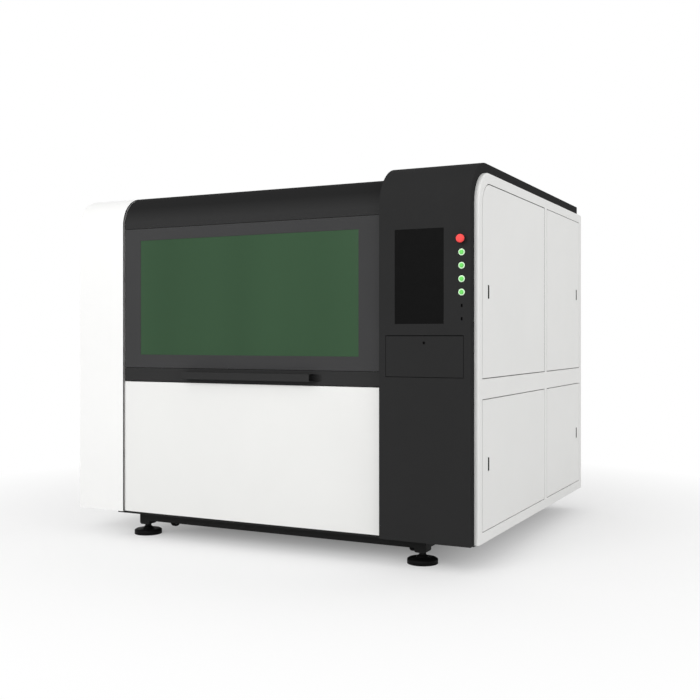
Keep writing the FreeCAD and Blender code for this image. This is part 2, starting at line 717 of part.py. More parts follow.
def rear_panel():
    """Rear wall with the drawer's opening, the fan port, the chiller grille and the cable gland."""
    z1 = z_body
    wall = box((x_left, x_side), (y_rear - SHEET, y_rear), (FLOOR_GAP, z1))
    tools = [box((drawer_x0 - DRAWER_GAP, drawer_x1 + DRAWER_GAP), (y_rear - 10, y_rear + 10),
                 (DRAWER_LOW - DRAWER_GAP, DRAWER_LOW + DRAWER_HEIGHT + DRAWER_GAP)),
             bar_y(FAN_X, FAN_Z, SPIGOT_RADIUS + SLIDE_CLEAR, y_rear - 10, y_rear + 10)]
    grille_x = (x_column + x_side) / 2
    length, height = GRILLE_SLOT
    for row in range(GRILLE_SLOTS):
        z = FLOOR_GAP + REAR_GRILLE_RISE + row * GRILLE_PITCH
        tools.append(box((grille_x - length / 2, grille_x + length / 2), (y_rear - 10, y_rear + 10),
                         (z, z + height)))
    gland_z = FLOOR_GAP + GLAND_RISE
    gland = bar_y(grille_x, gland_z, GLAND_RADIUS, y_rear - SHEET, y_rear + GLAND_PROUD)
    gland_bore = bar_y(grille_x, gland_z, GLAND_BORE, y_rear - SHEET - 1, y_rear + GLAND_PROUD + 1)
    return cut(fuse(cut(wall, *tools), gland), gland_bore)


def front_lower_panel():
    """White panel under the door, open at its bottom edge so that it hooks over the base plate."""
    return front_pan(FLOOR_GAP + FRONT_LIFT, BAND_BOTTOM - SEAM, open_low=True)


def partition():
    """Wall between the cutting chamber and the control cabinet."""
    return prism_x(body_face(SHEET, FLOOR_GAP, y_rear - SHEET), x_partition, x_partition + SHEET)


def screen_corners():
    """Left, right, low and high of the screen's window."""
    x0 = x_column + SCREEN_LEFT
    return x0, x0 + SCREEN_WIDTH, screen_low, screen_low + SCREEN_HEIGHT


def button_heights():
    """Heights of the push buttons, below the emergency stop."""
    return [stop_z - BUTTON_PITCH * (i + 1) for i in range(BUTTON_COUNT)]


def socket_heights():
    """Heights of the data sockets."""
    return [stop_z - SOCKET_DROP - BUTTON_PITCH * i for i in range(SOCKET_COUNT)]


def column_cover():
    """Black cover of the control column: front, quarter-round and top, with side flanges."""
    rear = y_rear - COLUMN_REAR_STEP
    shell = cut(prism_x(column_face(0, FLOOR_GAP, rear), x_column, x_side),
                prism_x(column_face(SHEET, FLOOR_GAP + SHEET, rear - SHEET),
                        x_column + SHEET, x_side - SHEET))
    deep = COLUMN_PROUD + COLUMN_LAP
    hollow = prism_x(column_face(deep, FLOOR_GAP - 1, rear - SHEET), x_column - 1, x_side + 1)
    behind = box((x_column - 1, x_side + 1), (rear - SHEET, rear + 1), (FLOOR_GAP - 1, z_body))
    low = box((x_column + SHEET, x_side - SHEET), (y_body + SHEET, rear + 1),
              (FLOOR_GAP - 1, FLOOR_GAP + SHEET))
    holes = []
    x0, x1, z0, z1 = screen_corners()
    front = (y_column - 1, y_column + SHEET + 1)
    holes.append(box((x0, x1), front, (z0, z1)))
    flap_x = x_column + FLAP_LEFT
    holes.append(box((flap_x, flap_x + FLAP_WIDTH), front, (flap_low, flap_high)))
    holes.append(bar_y(button_x, stop_z, CONTACT_BLOCK, *front))
    holes += [bar_y(button_x, z, CONTACT_BLOCK, *front) for z in button_heights()]
    half_w, half_h = SOCKET_WIDTH / 2 + SOCKET_WALL, SOCKET_HEIGHT / 2 + SOCKET_WALL
    holes += [box((button_x - half_w, button_x + half_w), front, (z - half_h, z + half_h))
              for z in socket_heights()]
    return cut(shell, hollow, behind, low, *holes)


save("left_end_cover", left_end_cover(), strut_stud(x_door - SEAM / 2, 1))
save("left_side_panel", left_side_panel())
save("roof_panel", roof_panel())
save("rear_panel", rear_panel())
save("front_lower_panel", front_lower_panel())
save("partition", partition(), strut_stud(x_partition, -1))
save("column_cover", column_cover())


# ---------------------------------------------------------------- right side frame and its doors
pivot_x = x_right - PIVOT_IN
door_back = x_right - DOOR_DEPTH
front_door_y = (y_body + DOOR_FRONT, y_body + DOOR_FRONT + FRONT_DOOR_WIDTH)
rear_door_y = (front_door_y[1] + POST_WIDTH, y_rear - REAR_MARGIN)
upper_z = (UPPER_DOOR_LOW, z_body - UPPER_DOOR_DROP)
lower_z = (FLOOR_GAP + LOWER_DOOR_RISE, LOWER_DOOR_HIGH)
upper_mid = sum(upper_z) / 2
lower_mid = sum(lower_z) / 2
# name: free edge Y, hinge edge Y, low and high Z, corner radius, latch Y, latch Z
side_doors = {
    "upper_front": (front_door_y[0], front_door_y[1], upper_z, UPPER_DOOR_CORNER,
                    front_door_y[0] + LATCH_FROM_FRONT, upper_mid - LATCH_DROP),
    "upper_rear": (rear_door_y[1], rear_door_y[0], upper_z, 0,
                   rear_door_y[1] - LATCH_FROM_REAR, upper_mid),
    "lower_front": (front_door_y[0], front_door_y[1], lower_z, 0,
                    front_door_y[0] + LATCH_FROM_FRONT, lower_mid),
    "lower_rear": (rear_door_y[1], rear_door_y[0], lower_z, 0,
                   rear_door_y[1] - LATCH_FROM_REAR, lower_mid),
}


def door_face(free, hinge, z, corner, grow):
    """Side door outline, grown by a clearance; the top front corner may be rounded."""
    y0, y1 = min(free, hinge) - grow, max(free, hinge) + grow
    z0, z1 = z[0] - grow, z[1] + grow
    if corner == 0:
        return polygon([V(0, y0, z0), V(0, y1, z0), V(0, y1, z1), V(0, y0, z1)])
    return quarter_face(y0, z1, corner + grow, z0, y1)


def keeper(door):
    """Catch for the latch, behind the door's free edge on the frame."""
    free, hinge, z, corner, latch_y, latch_z = door
    into = 1 if hinge > free else -1
    bar_mid = latch_z + LATCH_AXIS_UP
    y0, y1 = sorted((free - into * (SIDE_GAP + SHEET), free + into * KEEPER_LAP))
    tab = box((x_side - KEEPER, x_side), (y0, y1), (bar_mid - LATCH_BAR / 2, bar_mid + LATCH_BAR))
    return tab


def side_frame():
    """White folded frame of the right side with four door openings."""
    low, rear = FLOOR_GAP + SHEET, y_rear
    frame = rounded_body(body_face, 0, x_side, x_right, low, rear, round_x1=SIDE_ROUND)
    hollow = rounded_body(body_face, SHEET, x_side - SHEET, x_right - SHEET, low + SHEET, rear - SHEET,
                          round_x1=SIDE_ROUND - SHEET)
    openings = []
    returns = []
    for free, hinge, z, corner, latch_y, latch_z in side_doors.values():
        openings.append(prism_x(door_face(free, hinge, z, corner, SIDE_GAP), x_side - 5, x_right + 5))
        returns.append(prism_x(door_face(free, hinge, z, corner, SIDE_GAP + SHEET), x_side - 5, x_right + 5))
    frame = cut(frame, cut(hollow, *returns), *openings)
    return fuse(frame, *[keeper(door) for door in side_doors.values()])


def pivot_levels(z):
    """Bracket plates of a door: (plate low, plate high, pin end) at its foot and its head."""
    low, high = z[0] + SHEET + 1, z[1] - SHEET - 1
    return (low, low + PIVOT_ARM, z[0] - 1), (high - PIVOT_ARM, high, z[1] + 1)


def pivot_bracket(hinge, free, level):
    """Arm from the centre post to a door's hinge pin, with the pin."""
    low, high, tip = level
    out = 1 if hinge > free else -1
    pin_y = hinge - out * PIVOT_IN
    reach_y = hinge + out * (SIDE_GAP + SHEET + 6)
    arm = box((x_side - PIVOT_ARM, pivot_x + PIVOT_PIN), sorted((pin_y - out * 6, pin_y + out * 4)),
              (low, high))
    back = box((x_side - PIVOT_ARM, x_side), sorted((pin_y - out * 6, reach_y)), (low, high))
    pin = bar_z(pivot_x, pin_y, PIVOT_PIN, min(low, tip), max(high, tip))
    return fuse(arm, back, pin)


def side_door(door):
    """Door pan with folded edges, pivot holes, latch slot and latch ears."""
    free, hinge, z, corner, latch_y, latch_z = door
    out = 1 if hinge > free else -1
    pan = cut(prism_x(door_face(free, hinge, z, corner, 0), door_back, x_right),
              prism_x(door_face(free, hinge, z, corner, -SHEET), door_back - 1, x_right - SHEET))
    pin_y = hinge - out * PIVOT_IN
    tools = []
    for low, high, tip in pivot_levels(z):
        tools.append(bar_z(pivot_x, pin_y, PIVOT_PIN + RUN, min(low, tip) - 3, max(high, tip) + 3))
        tools.append(box((door_back - 1, x_right - SHEET), sorted((hinge - out * SHEET * 2, hinge + out)),
                         (low - ARM_NOTCH / 4, high + ARM_NOTCH / 4)))
    half_w, half_h = LATCH_WIDTH / 2 + LATCH_SLACK, LATCH_HEIGHT / 2 + LATCH_SLACK
    tools.append(box((x_right - SHEET - 1, x_right + 1), (latch_y - half_w, latch_y + half_w),
                     (latch_z - half_h, latch_z + half_h)))
    ears = []
    axis_z = latch_z + LATCH_AXIS_UP
    for side in (-1, 1):
        y0, y1 = sorted((latch_y + side * half_w, latch_y + side * (half_w + EAR)))
        ear = box((x_right - SHEET - LATCH_THICK - 2, x_right - SHEET), (y0, y1), (axis_z - 8, axis_z + 8))
        ears.append(ear)
    reach = half_w + EAR + 1
    tools.append(bar_y(latch_x, axis_z, LATCH_PIN + RUN, latch_y - reach, latch_y + reach))
    return cut(fuse(pan, *ears), *tools)


latch_x = x_right - SHEET - LATCH_THICK / 2


def side_latch(door):
    """Recessed paddle with its pivot pin, and the bar that reaches behind the frame's catch."""
    free, hinge, z, corner, latch_y, latch_z = door
    into = 1 if hinge > free else -1
    axis_z = latch_z + LATCH_AXIS_UP
    x1 = x_right - SHEET
    paddle = box((x1 - LATCH_THICK, x1), (latch_y - LATCH_WIDTH / 2, latch_y + LATCH_WIDTH / 2),
                 (latch_z - LATCH_HEIGHT / 2, latch_z + LATCH_HEIGHT / 2))
    grip = [e for e in paddle.Edges if e.BoundBox.XMin > x1 - 1e-6]
    paddle = paddle.makeFillet(1.5, grip)
    pin = bar_y(latch_x, axis_z, LATCH_PIN, latch_y - LATCH_WIDTH / 2 - EAR, latch_y + LATCH_WIDTH / 2 + EAR)
    bar_x1 = x_side - KEEPER - 1
    bar_x0 = bar_x1 - 6
    neck = box((bar_x0, x1 - LATCH_THICK), (latch_y - LATCH_BAR / 2, latch_y + LATCH_BAR / 2),
               (axis_z - LATCH_BAR / 2, axis_z + LATCH_BAR / 2))
    tip = free + into * 2
    bar = box((bar_x0, bar_x1), sorted((tip, latch_y + into * LATCH_BAR / 2)),
              (axis_z - LATCH_BAR / 2, axis_z + LATCH_BAR / 2))
    return fuse(paddle, pin, neck, bar)


save("right_side_frame", side_frame())
brackets = []
for name, door in side_doors.items():
    save(f"door_{name}", side_door(door))
    save(f"latch_{name}", side_latch(door))
    brackets += [pivot_bracket(door[1], door[0], level) for level in pivot_levels(door[2])]
save("side_door_pivots", *brackets)


# ---------------------------------------------------------------- front door
hinge_xs = [door_x0 + (door_x1 - door_x0) * (i + 0.5) / HINGE_COUNT for i in range(HINGE_COUNT)]


def hood_hinge(x, moving):
    """One hinge: its fixed leaf, outer knuckles and pin, or its moving leaf and middle knuckle."""
    third = HINGE_LENGTH / 3
    span = (x - HINGE_LENGTH / 2, x + HINGE_LENGTH / 2)
    leaf_z, arm_z = (z_body, z_body + LEAF), (z_body + 1, z_body + LEAF + 1)
    near = HINGE_BARREL + 1
    if moving:
        middle = (x - third / 2 + SLIDE_CLEAR, x + third / 2 - SLIDE_CLEAR)
        leaf = box(span, (y_hinge - LEAF_WIDTH, y_hinge - near), leaf_z)
        arm = box(middle, (y_hinge - near, y_hinge), arm_z)
        knuckle = bar_x(y_hinge, z_hinge, HINGE_BARREL, *middle)
        bore = bar_x(y_hinge, z_hinge, HINGE_PIN + RUN, x - third, x + third)
        return fuse(leaf, cut(fuse(arm, knuckle), bore))
    parts = [box(span, (y_hinge + near, y_hinge + LEAF_WIDTH), leaf_z),
             bar_x(y_hinge, z_hinge, HINGE_PIN, *span)]
    for x0 in (span[0], x + third / 2):
        parts.append(bar_x(y_hinge, z_hinge, HINGE_BARREL, x0, x0 + third))
        parts.append(box((x0, x0 + third), (y_hinge, y_hinge + near), arm_z))
    return fuse(*parts)


def strut_tab(x, direction):
    """Plate on the hood's cheek that carries a gas spring's upper stud."""
    y, z = y_hinge + STRUT_HOOD_PIN[0], z_hinge + STRUT_HOOD_PIN[1]
    x0, x1 = sorted((x, x + direction * TAB_THICK))
    plate = box((x0, x1), (y - TAB_HALF, y + TAB_HALF), (z - TAB_LAP, z_body - SHEET))
    tip = x + direction * (STRUT_FROM_SIDE + STRUT_EYE_WIDTH)
    s0, s1 = sorted((x, tip))
    return fuse(plate, bar_x(y, z, STRUT_STUD, s0, s1))


def door_frame():
    """Flat bars that hang from the hood's cheeks and carry the folded panels below it."""
    y = (y_body + FOLD, y_body + FOLD + DOOR_BAR)
    z = (BAND_BOTTOM, z_body - BODY_RADIUS)
    left = box((door_x0, door_x0 + DOOR_BAR_WIDTH), y, z)
    right = box((door_x1 - DOOR_BAR_WIDTH, door_x1), y, z)
    lower = box((door_x0, door_x1), y, (BAND_BOTTOM, BAND_BOTTOM + DOOR_BAR_WIDTH))
    return [left, right, lower]


def hood_shell():
    """Curved hood sheet with shallow cheeks, the door's frame, strut plates and moving hinge leaves."""
    low, rear = z_seam + SEAM / 4, y_hinge - SHEET
    outer = rounded_body(body_face, 0, door_x0, door_x1, low, rear, round_x0=EDGE_ROUND)
    inner = rounded_body(body_face, SHEET, door_x0 + SHEET, door_x1 - SHEET, low - 1, rear - SHEET,
                         round_x0=EDGE_ROUND - SHEET)
    clear = prism_x(body_face(FOLD, low - 1, rear + 1), door_x0 - 1, door_x1 + 1)
    shell = cut(outer, inner, clear)
    leaves = [hood_hinge(x, True) for x in hinge_xs]
    return fuse(shell, strut_tab(door_x0, 1), strut_tab(door_x1, -1), *leaves, *door_frame())


def window_hole(grow):
    """Left, right, low and high of the window, grown by a margin."""
    return (x_door + WINDOW_LEFT - grow, x_column - WINDOW_RIGHT + grow,
            BAND_TOP + WINDOW_SILL - grow, z_seam - WINDOW_HEAD + grow)


def window_panel():
    """Folded panel with the window's cut-out."""
    pan = front_pan(BAND_TOP + SEAM / 4, z_seam - SEAM / 4)
    x0, x1, z0, z1 = window_hole(0)
    hole = box((x0, x1), (y_body - 1, y_body + SHEET + 1), (z0, z1))
    hole = hole.makeFillet(WINDOW_ROUND, [e for e in hole.Edges if e.BoundBox.YLength > 1])
    return cut(pan, hole)


def window_glass():
    """Laser-safe pane bonded behind the window panel."""
    x0, x1, z0, z1 = window_hole(GLASS_LAP)
    return box((x0, x1), (y_body + SHEET, y_body + SHEET + GLASS_THICKNESS), (z0, z1))


def door_handle():
    """Long grip of channel section on the door's lower band, open at its right end."""
    x0 = x_door + HANDLE_LEFT
    z1 = BAND_TOP - HANDLE_DROP
    z0 = z1 - HANDLE_HEIGHT
    y0 = y_body - HANDLE_DEPTH
    outer = box((x0, x0 + HANDLE_LENGTH), (y0, y_body), (z0, z1))
    hollow = box((x0 + HANDLE_WALL, x0 + HANDLE_LENGTH + 1), (y0 + HANDLE_WALL, y_body + 1),
                 (z0 - 1, z1 - HANDLE_WALL))
    lip_edges = [e for e in outer.Edges if e.BoundBox.XLength > 1 and e.BoundBox.YMax < y0 + 1e-6]
    return cut(outer.makeFillet(3, lip_edges), hollow)


save("hood_shell", hood_shell())
save("hood_hinges", *[hood_hinge(x, False) for x in hinge_xs])
save("window_panel", window_panel())
save("window_glass", window_glass())
save("door_band", front_pan(BAND_BOTTOM, BAND_TOP - SEAM / 4))
save("door_handle", door_handle())


# ---------------------------------------------------------------- gas springs
def strut_frame():
    """Length between the pins, and the turn about X that lays +Y on the strut's line."""
    dy = STRUT_HOOD_PIN[0] - STRUT_BASE_PIN[0]
    dz = STRUT_HOOD_PIN[1] - STRUT_BASE_PIN[1]
    return math.hypot(dy, dz), math.degrees(math.atan2(dz, dy))


def place_strut(solid):
    """Solid drawn along +Y from the lower pin, set in its place in the YZ plane."""
    solid.rotate(V(0, 0, 0), V(1, 0, 0), strut_frame()[1])
    solid.translate(V(0, y_hinge + STRUT_BASE_PIN[0], z_hinge + STRUT_BASE_PIN[1]))
    return solid


def strut_cylinder(x):
    """Tube of a gas spring with its lower eye and its rod guide."""
    half = STRUT_EYE_WIDTH / 2
    end = STRUT_TUBE_START + STRUT_TUBE_LENGTH
    eye = bar_x(0, 0, STRUT_TUBE - 1, x - half, x + half)
    neck = box((x - half, x + half), (0, STRUT_TUBE_START + 1), (-6, 6))
    tube = cut(bar_y(x, 0, STRUT_TUBE, STRUT_TUBE_START, end),
               bar_y(x, 0, STRUT_BORE, STRUT_TUBE_START + 4, end - STRUT_GUIDE))
    bores = [bar_x(0, 0, STRUT_STUD + RUN, x - half - 1, x + half + 1),
             bar_y(x, 0, STRUT_ROD + RUN, end - STRUT_GUIDE - 1, end + 1)]
    return place_strut(cut(fuse(eye, neck, tube), *bores))


def strut_rod(x):
    """Rod of a gas spring with its piston and its upper eye, whose bore is the open pivot."""
    half = STRUT_EYE_WIDTH / 2
    reach = strut_frame()[0]
    eye_bore = STRUT_STUD + STRUT_PIN_CLEARANCE
    piston = bar_y(x, 0, STRUT_BORE - RUN, STRUT_TUBE_START + 5, STRUT_TUBE_START + 17)
    rod = bar_y(x, 0, STRUT_ROD, STRUT_TUBE_START + 10, reach - eye_bore - 1)
    eye = bar_x(reach, 0, eye_bore + 4, x - half, x + half)
    return place_strut(cut(fuse(piston, rod, eye), bar_x(reach, 0, eye_bore, x - half - 1, x + half + 1)))


for side, strut_x in (("left", door_x0 + STRUT_FROM_SIDE), ("right", door_x1 - STRUT_FROM_SIDE)):
    save(f"strut_cylinder_{side}", strut_cylinder(strut_x))
    save(f"strut_rod_{side}", strut_rod(strut_x))


# ---------------------------------------------------------------- controls
def touch_monitor():
    """Panel computer behind the column's front, its screen level with the cover."""
    x0, x1, z0, z1 = screen_corners()
    back = (y_column + SHEET, y_column + SHEET + SCREEN_BODY_DEPTH)
    margin = SCREEN_BODY_MARGIN
    case = box((x0 - margin, x1 + margin), back, (z0 - margin, z1 + margin))
    face = box((x0 + 0.5, x1 - 0.5), (y_column + 0.5, y_column + SHEET), (z0 + 0.5, z1 - 0.5))
    return fuse(case, face)


def collar(z, outer, bore):
    """Ring in front of the cover and the contact block behind it, bored for the button's stem."""
    ring = bar_y(button_x, z, outer, y_column - COLLAR_PROUD, y_column)
    ring = ring.makeFillet(1, [e for e in ring.Edges if e.BoundBox.YMax < y_column - COLLAR_PROUD + 1e-6])
    block = bar_y(button_x, z, CONTACT_BLOCK - RUN, y_column, y_column + CONTACT_DEPTH)
    return cut(fuse(ring, block), bar_y(button_x, z, bore + RUN, y_column - COLLAR_PROUD - 1, y_column + 20))


def socket(z):
    """Data socket set in the cover."""
    half_w, half_h = SOCKET_WIDTH / 2, SOCKET_HEIGHT / 2
    edge = SOCKET_WALL - RUN
    shell = box((button_x - half_w - edge, button_x + half_w + edge), (y_column, y_column + SOCKET_DEPTH),
                (z - half_h - edge, z + half_h + edge))
    mouth = box((button_x - half_w, button_x + half_w), (y_column - 1, y_column + SOCKET_DEPTH - 2),
                (z - half_h, z + half_h))
    flange = box((button_x - half_w - 4, button_x + half_w + 4), (y_column + SHEET, y_column + SHEET + 4),
                 (z - half_h - 4, z + half_h + 4))
    return cut(fuse(shell, flange), mouth)


def push_button(z):
    """Round cap with a domed face on its stem."""
    cap = bar_y(button_x, z, BUTTON_RADIUS, y_column - COLLAR_PROUD - BUTTON_PROUD, y_column + 12)
    front = [e for e in cap.Edges if e.BoundBox.YMax < y_column - COLLAR_PROUD - BUTTON_PROUD + 1e-6]
    return cap.makeFillet(1.5, front)


def emergency_stop():
    """Mushroom head on its stem."""
    face = y_column - STOP_PROUD
    head = bar_y(button_x, stop_z, STOP_RADIUS, face, face + STOP_HEAD)
    head = head.makeFillet(5, [e for e in head.Edges if e.BoundBox.YMax < face + 1e-6])
    stem = bar_y(button_x, stop_z, STOP_STEM, face + STOP_HEAD - 1, y_column + 12)
    return fuse(head, stem)


flap_x0 = x_column + FLAP_LEFT + FLAP_GAP
flap_x1 = x_column + FLAP_LEFT + FLAP_WIDTH - FLAP_GAP
flap_z0 = flap_low + FLAP_GAP
flap_z1 = flap_high - FLAP_TOP_GAP
flap_axis_y = y_column + FLAP_AXIS
flap_axis_z = flap_z0 + FLAP_AXIS
lock_x = (flap_x0 + flap_x1) / 2
lock_z = flap_z1 - LOCK_DROP


def keyboard_box():
    """Open-fronted recess behind the flap, with the flap's two hinge pins."""
    x0, x1 = flap_x0 - FLAP_GAP - BOX_MARGIN, flap_x1 + FLAP_GAP + BOX_MARGIN
    z0, z1 = flap_low - BOX_MARGIN, flap_high + BOX_MARGIN
    y0, y1 = y_column + SHEET, y_column + SHEET + BOX_DEPTH
    wall = cut(box((x0 - SHEET, x1 + SHEET), (y0, y1), (z0 - SHEET, z1 + SHEET)),
               box((x0, x1), (y0 - 1, y1 - SHEET), (z0, z1)))
    flange = cut(box((x0 - BOX_FLANGE, x1 + BOX_FLANGE), (y0, y0 + SHEET),
                     (z0 - BOX_FLANGE, z1 + BOX_FLANGE)),
                 box((x0, x1), (y0 - 1, y1), (z0, z1)))
    pins = [bar_x(flap_axis_y, flap_axis_z, FLAP_PIN, x0 - 1, flap_x0 + 12),
            bar_x(flap_axis_y, flap_axis_z, FLAP_PIN, flap_x1 - 12, x1 + 1)]
    return fuse(wall, flange, *pins)


def keyboard_flap():
    """Flap with folded edges, hinge bores and the lock's hole."""
    y0, y1 = y_column, y_column + FLAP_FOLD
    pan = cut(box((flap_x0, flap_x1), (y0, y1), (flap_z0, flap_z1)),
              box((flap_x0 + SHEET, flap_x1 - SHEET), (y0 + SHEET, y1 + 1),
                  (flap_z0 + SHEET, flap_z1 - SHEET)))
    lower_back = [e for e in pan.Edges if e.BoundBox.XLength > FLAP_WIDTH / 2
                  and e.BoundBox.ZMax < flap_z0 + 1e-6 and e.BoundBox.YMax < y0 + 1e-6]
    pan = pan.makeFillet(SHEET * 0.9, lower_back)
    behind = flap_axis_y + FLAP_AXIS
    rear_cut = box((flap_x0 - 1, flap_x1 + 1), (behind, y1 + 1), (flap_z0 - 1, flap_z0 + SHEET + 1))
    blocks = [box((x0, x0 + FLAP_BLOCK), (y0 + SHEET, behind - 1), (flap_z0 + SHEET, flap_axis_z + FLAP_AXIS))
              for x0 in (flap_x0, flap_x1 - FLAP_BLOCK)]
    bore = bar_x(flap_axis_y, flap_axis_z, FLAP_PIN + RUN, flap_x0 - 1, flap_x1 + 1)
    hole = bar_y(lock_x, lock_z, LOCK_RADIUS + RUN, y0 - 1, y0 + SHEET + 1)
    return cut(fuse(cut(pan, rear_cut), *blocks), bore, hole)


def keyboard():
    """Sealed keyboard fixed to the flap's inner side."""
    cx = (flap_x0 + flap_x1) / 2
    y0 = y_column + SHEET
    z0 = flap_z0 + 16
    slab = box((cx - KEYBOARD_WIDTH / 2, cx + KEYBOARD_WIDTH / 2), (y0, y0 + KEYBOARD_THICK),
               (z0, z0 + KEYBOARD_HEIGHT))
    keys = []
    x_first = cx - KEY_PITCH * (KEY_COLUMNS - 1) / 2
    z_first = z0 + KEYBOARD_HEIGHT / 2 - KEY_PITCH * (KEY_ROWS - 1) / 2
    for row in range(KEY_ROWS):
        for column in range(KEY_COLUMNS):
            x, z = x_first + column * KEY_PITCH, z_first + row * KEY_PITCH
            keys.append(box((x - KEY_SIZE / 2, x + KEY_SIZE / 2),
                            (y0 + KEYBOARD_THICK - 1, y0 + KEYBOARD_THICK + KEY_RISE),
                            (z - KEY_SIZE / 2, z + KEY_SIZE / 2)))
    return fuse(slab, *keys)


def flap_lock():
    """Quarter-turn lock barrel with its cam arm."""
    barrel = bar_y(lock_x, lock_z, LOCK_RADIUS, y_column + 0.3, y_column + 20)
    slot = box((lock_x - 1, lock_x + 1), (y_column - 1, y_column + 3), (lock_z - 4, lock_z + 4))
    arm = box((lock_x - 6, lock_x + 6), (y_column + FLAP_FOLD + 1, y_column + FLAP_FOLD + 4),
              (lock_z - 4, lock_z + LOCK_ARM))
    return cut(fuse(barrel, arm), slot)


save("touch_monitor", touch_monitor())
save("panel_fittings", collar(stop_z, STOP_COLLAR, STOP_STEM),
     *[collar(z, COLLAR_RADIUS, BUTTON_RADIUS) for z in button_heights()],
     *[socket(z) for z in socket_heights()])
save("emergency_stop", emergency_stop())
for number, z in enumerate(button_heights(), 1):
    save(f"push_button_{number}", push_button(z))
save("keyboard_box", keyboard_box())
save("keyboard_flap", keyboard_flap())
save("keyboard", keyboard())
save("flap_lock", flap_lock())


# ---------------------------------------------------------------- machine bed and table
beam_left = x_left + BEAM_LEFT_INSET
beam_right = x_partition - BEAM_RIGHT_INSET - BEAM_WIDTH
bed_y0 = y_body + BED_FRONT
bed_y1 = bed_y0 + BED_LENGTH
beam_low = BEAM_TOP - BEAM_HEIGHT
cross_low = beam_low - CROSS_HEIGHT
table_x = (x_left + TABLE_LEFT, x_partition - TABLE_RIGHT)
table_y = (bed_y0 + SHEET, bed_y1 - CROSS_WIDTH / 2)
slat_pitch = (table_y[1] - table_y[0]) / (SLAT_COUNT + 1)


def machine_bed():
    """Welded bed of open-ended tubes: two long beams on two cross members and four legs."""
    x1 = beam_right + BEAM_WIDTH
    parts = []
    for x in (beam_left, beam_right):
        parts.append(cut(box((x, x + BEAM_WIDTH), (bed_y0, bed_y1), (beam_low, BEAM_TOP)),
                         box((x + BEAM_WALL, x + BEAM_WIDTH - BEAM_WALL), (bed_y0 - 1, bed_y1 + 1),
                             (beam_low + BEAM_WALL, BEAM_TOP - BEAM_WALL))))
    for y in (bed_y0 + SHEET, bed_y1 - SHEET - CROSS_WIDTH):
        parts.append(cut(box((beam_left, x1), (y, y + CROSS_WIDTH), (cross_low, beam_low)),
                         box((beam_left - 1, x1 + 1), (y + BEAM_WALL, y + CROSS_WIDTH - BEAM_WALL),
                             (cross_low + BEAM_WALL, beam_low - BEAM_WALL))))
        leg_y = y + (CROSS_WIDTH - LEG) / 2
        for x in (foot_xs[0], INNER_RAIL_X):
            inner = LEG / 2 - LEG_WALL
            parts.append(cut(box((x - LEG / 2, x + LEG / 2), (leg_y, leg_y + LEG), (FLOOR_GAP, cross_low)),
                             box((x - inner, x + inner), (leg_y + LEG_WALL, leg_y + LEG - LEG_WALL),
                                 (FLOOR_GAP - 1, cross_low))))
    return fuse(*parts)


def slat_ys():
    """Middle of each slat along Y."""
    return [table_y[0] + slat_pitch * (i + 1) for i in range(SLAT_COUNT)]


def slat_frame():
    """Table frame with a slot for each slat in its two long sides."""
    z0, z1 = beam_low, beam_low + TABLE_HEIGHT
    frame = cut(box(table_x, table_y, (z0, z1)),
                box((table_x[0] + TABLE_WALL, table_x[1] - TABLE_WALL),
                    (table_y[0] + TABLE_WALL, table_y[1] - TABLE_WALL), (z0 - 1, z1 + 1)))
    half = SLAT_THICK / 2 + SLAT_SLOT
    slot_low = z1 + SLAT_RISE - SLAT_HEIGHT
    slots = []
    for y in slat_ys():
        for x in (table_x[0] + TABLE_WALL / 2, table_x[1] - TABLE_WALL):
            slots.append(box((x, x + TABLE_WALL / 2), (y - half, y + half), (slot_low, z1 + 1)))
    return cut(frame, *slots)


def slat(y):
    """Toothed support blade."""
    x0, x1 = table_x[0] + TABLE_WALL / 2 + SLAT_SLOT, table_x[1] - TABLE_WALL / 2 - SLAT_SLOT
    top = beam_low + TABLE_HEIGHT + SLAT_RISE
    pitch = (x1 - x0) / SLAT_TEETH
    points = [V(x0, y, top - SLAT_HEIGHT), V(x1, y, top - SLAT_HEIGHT), V(x1, y, top - SLAT_TOOTH)]
    for i in range(SLAT_TEETH):
        right = x1 - i * pitch
        points += [V(right - pitch / 2, y, top), V(right - pitch, y, top - SLAT_TOOTH)]
    return polygon(points).extrude(V(0, SLAT_THICK, 0)).translated(V(0, -SLAT_THICK / 2, 0))


guide_left = beam_left + GUIDE_FROM_EDGE
guide_right = beam_right + BEAM_WIDTH - GUIDE_FROM_EDGE
track_left = beam_left + BEAM_WIDTH - TRACK_WIDTH / 2 - 5
track_right = beam_right + TRACK_WIDTH / 2 + 5


def y_guides():
    """Two guide rails and two magnet tracks along the beams."""
    span = (bed_y0 + 10, bed_y1 - 10)
    rails = [box((x - GUIDE_WIDTH / 2, x + GUIDE_WIDTH / 2), span, (BEAM_TOP, BEAM_TOP + GUIDE_HEIGHT))
             for x in (guide_left, guide_right)]
    tracks = [box((x - TRACK_WIDTH / 2, x + TRACK_WIDTH / 2), span, (BEAM_TOP, BEAM_TOP + TRACK_HEIGHT))
              for x in (track_left, track_right)]
    return rails + tracks


save("machine_bed", machine_bed())
save("slat_frame", slat_frame())
save("slats", *[slat(y) for y in slat_ys()])
save("y_guides", *y_guides())


# ---------------------------------------------------------------- gantry, carriage and head
gantry_y = y_body + GANTRY_REST
gantry_top = GANTRY_LOW + GANTRY_HEIGHT
x_rail_zs = (GANTRY_LOW + 30, gantry_top - 30)


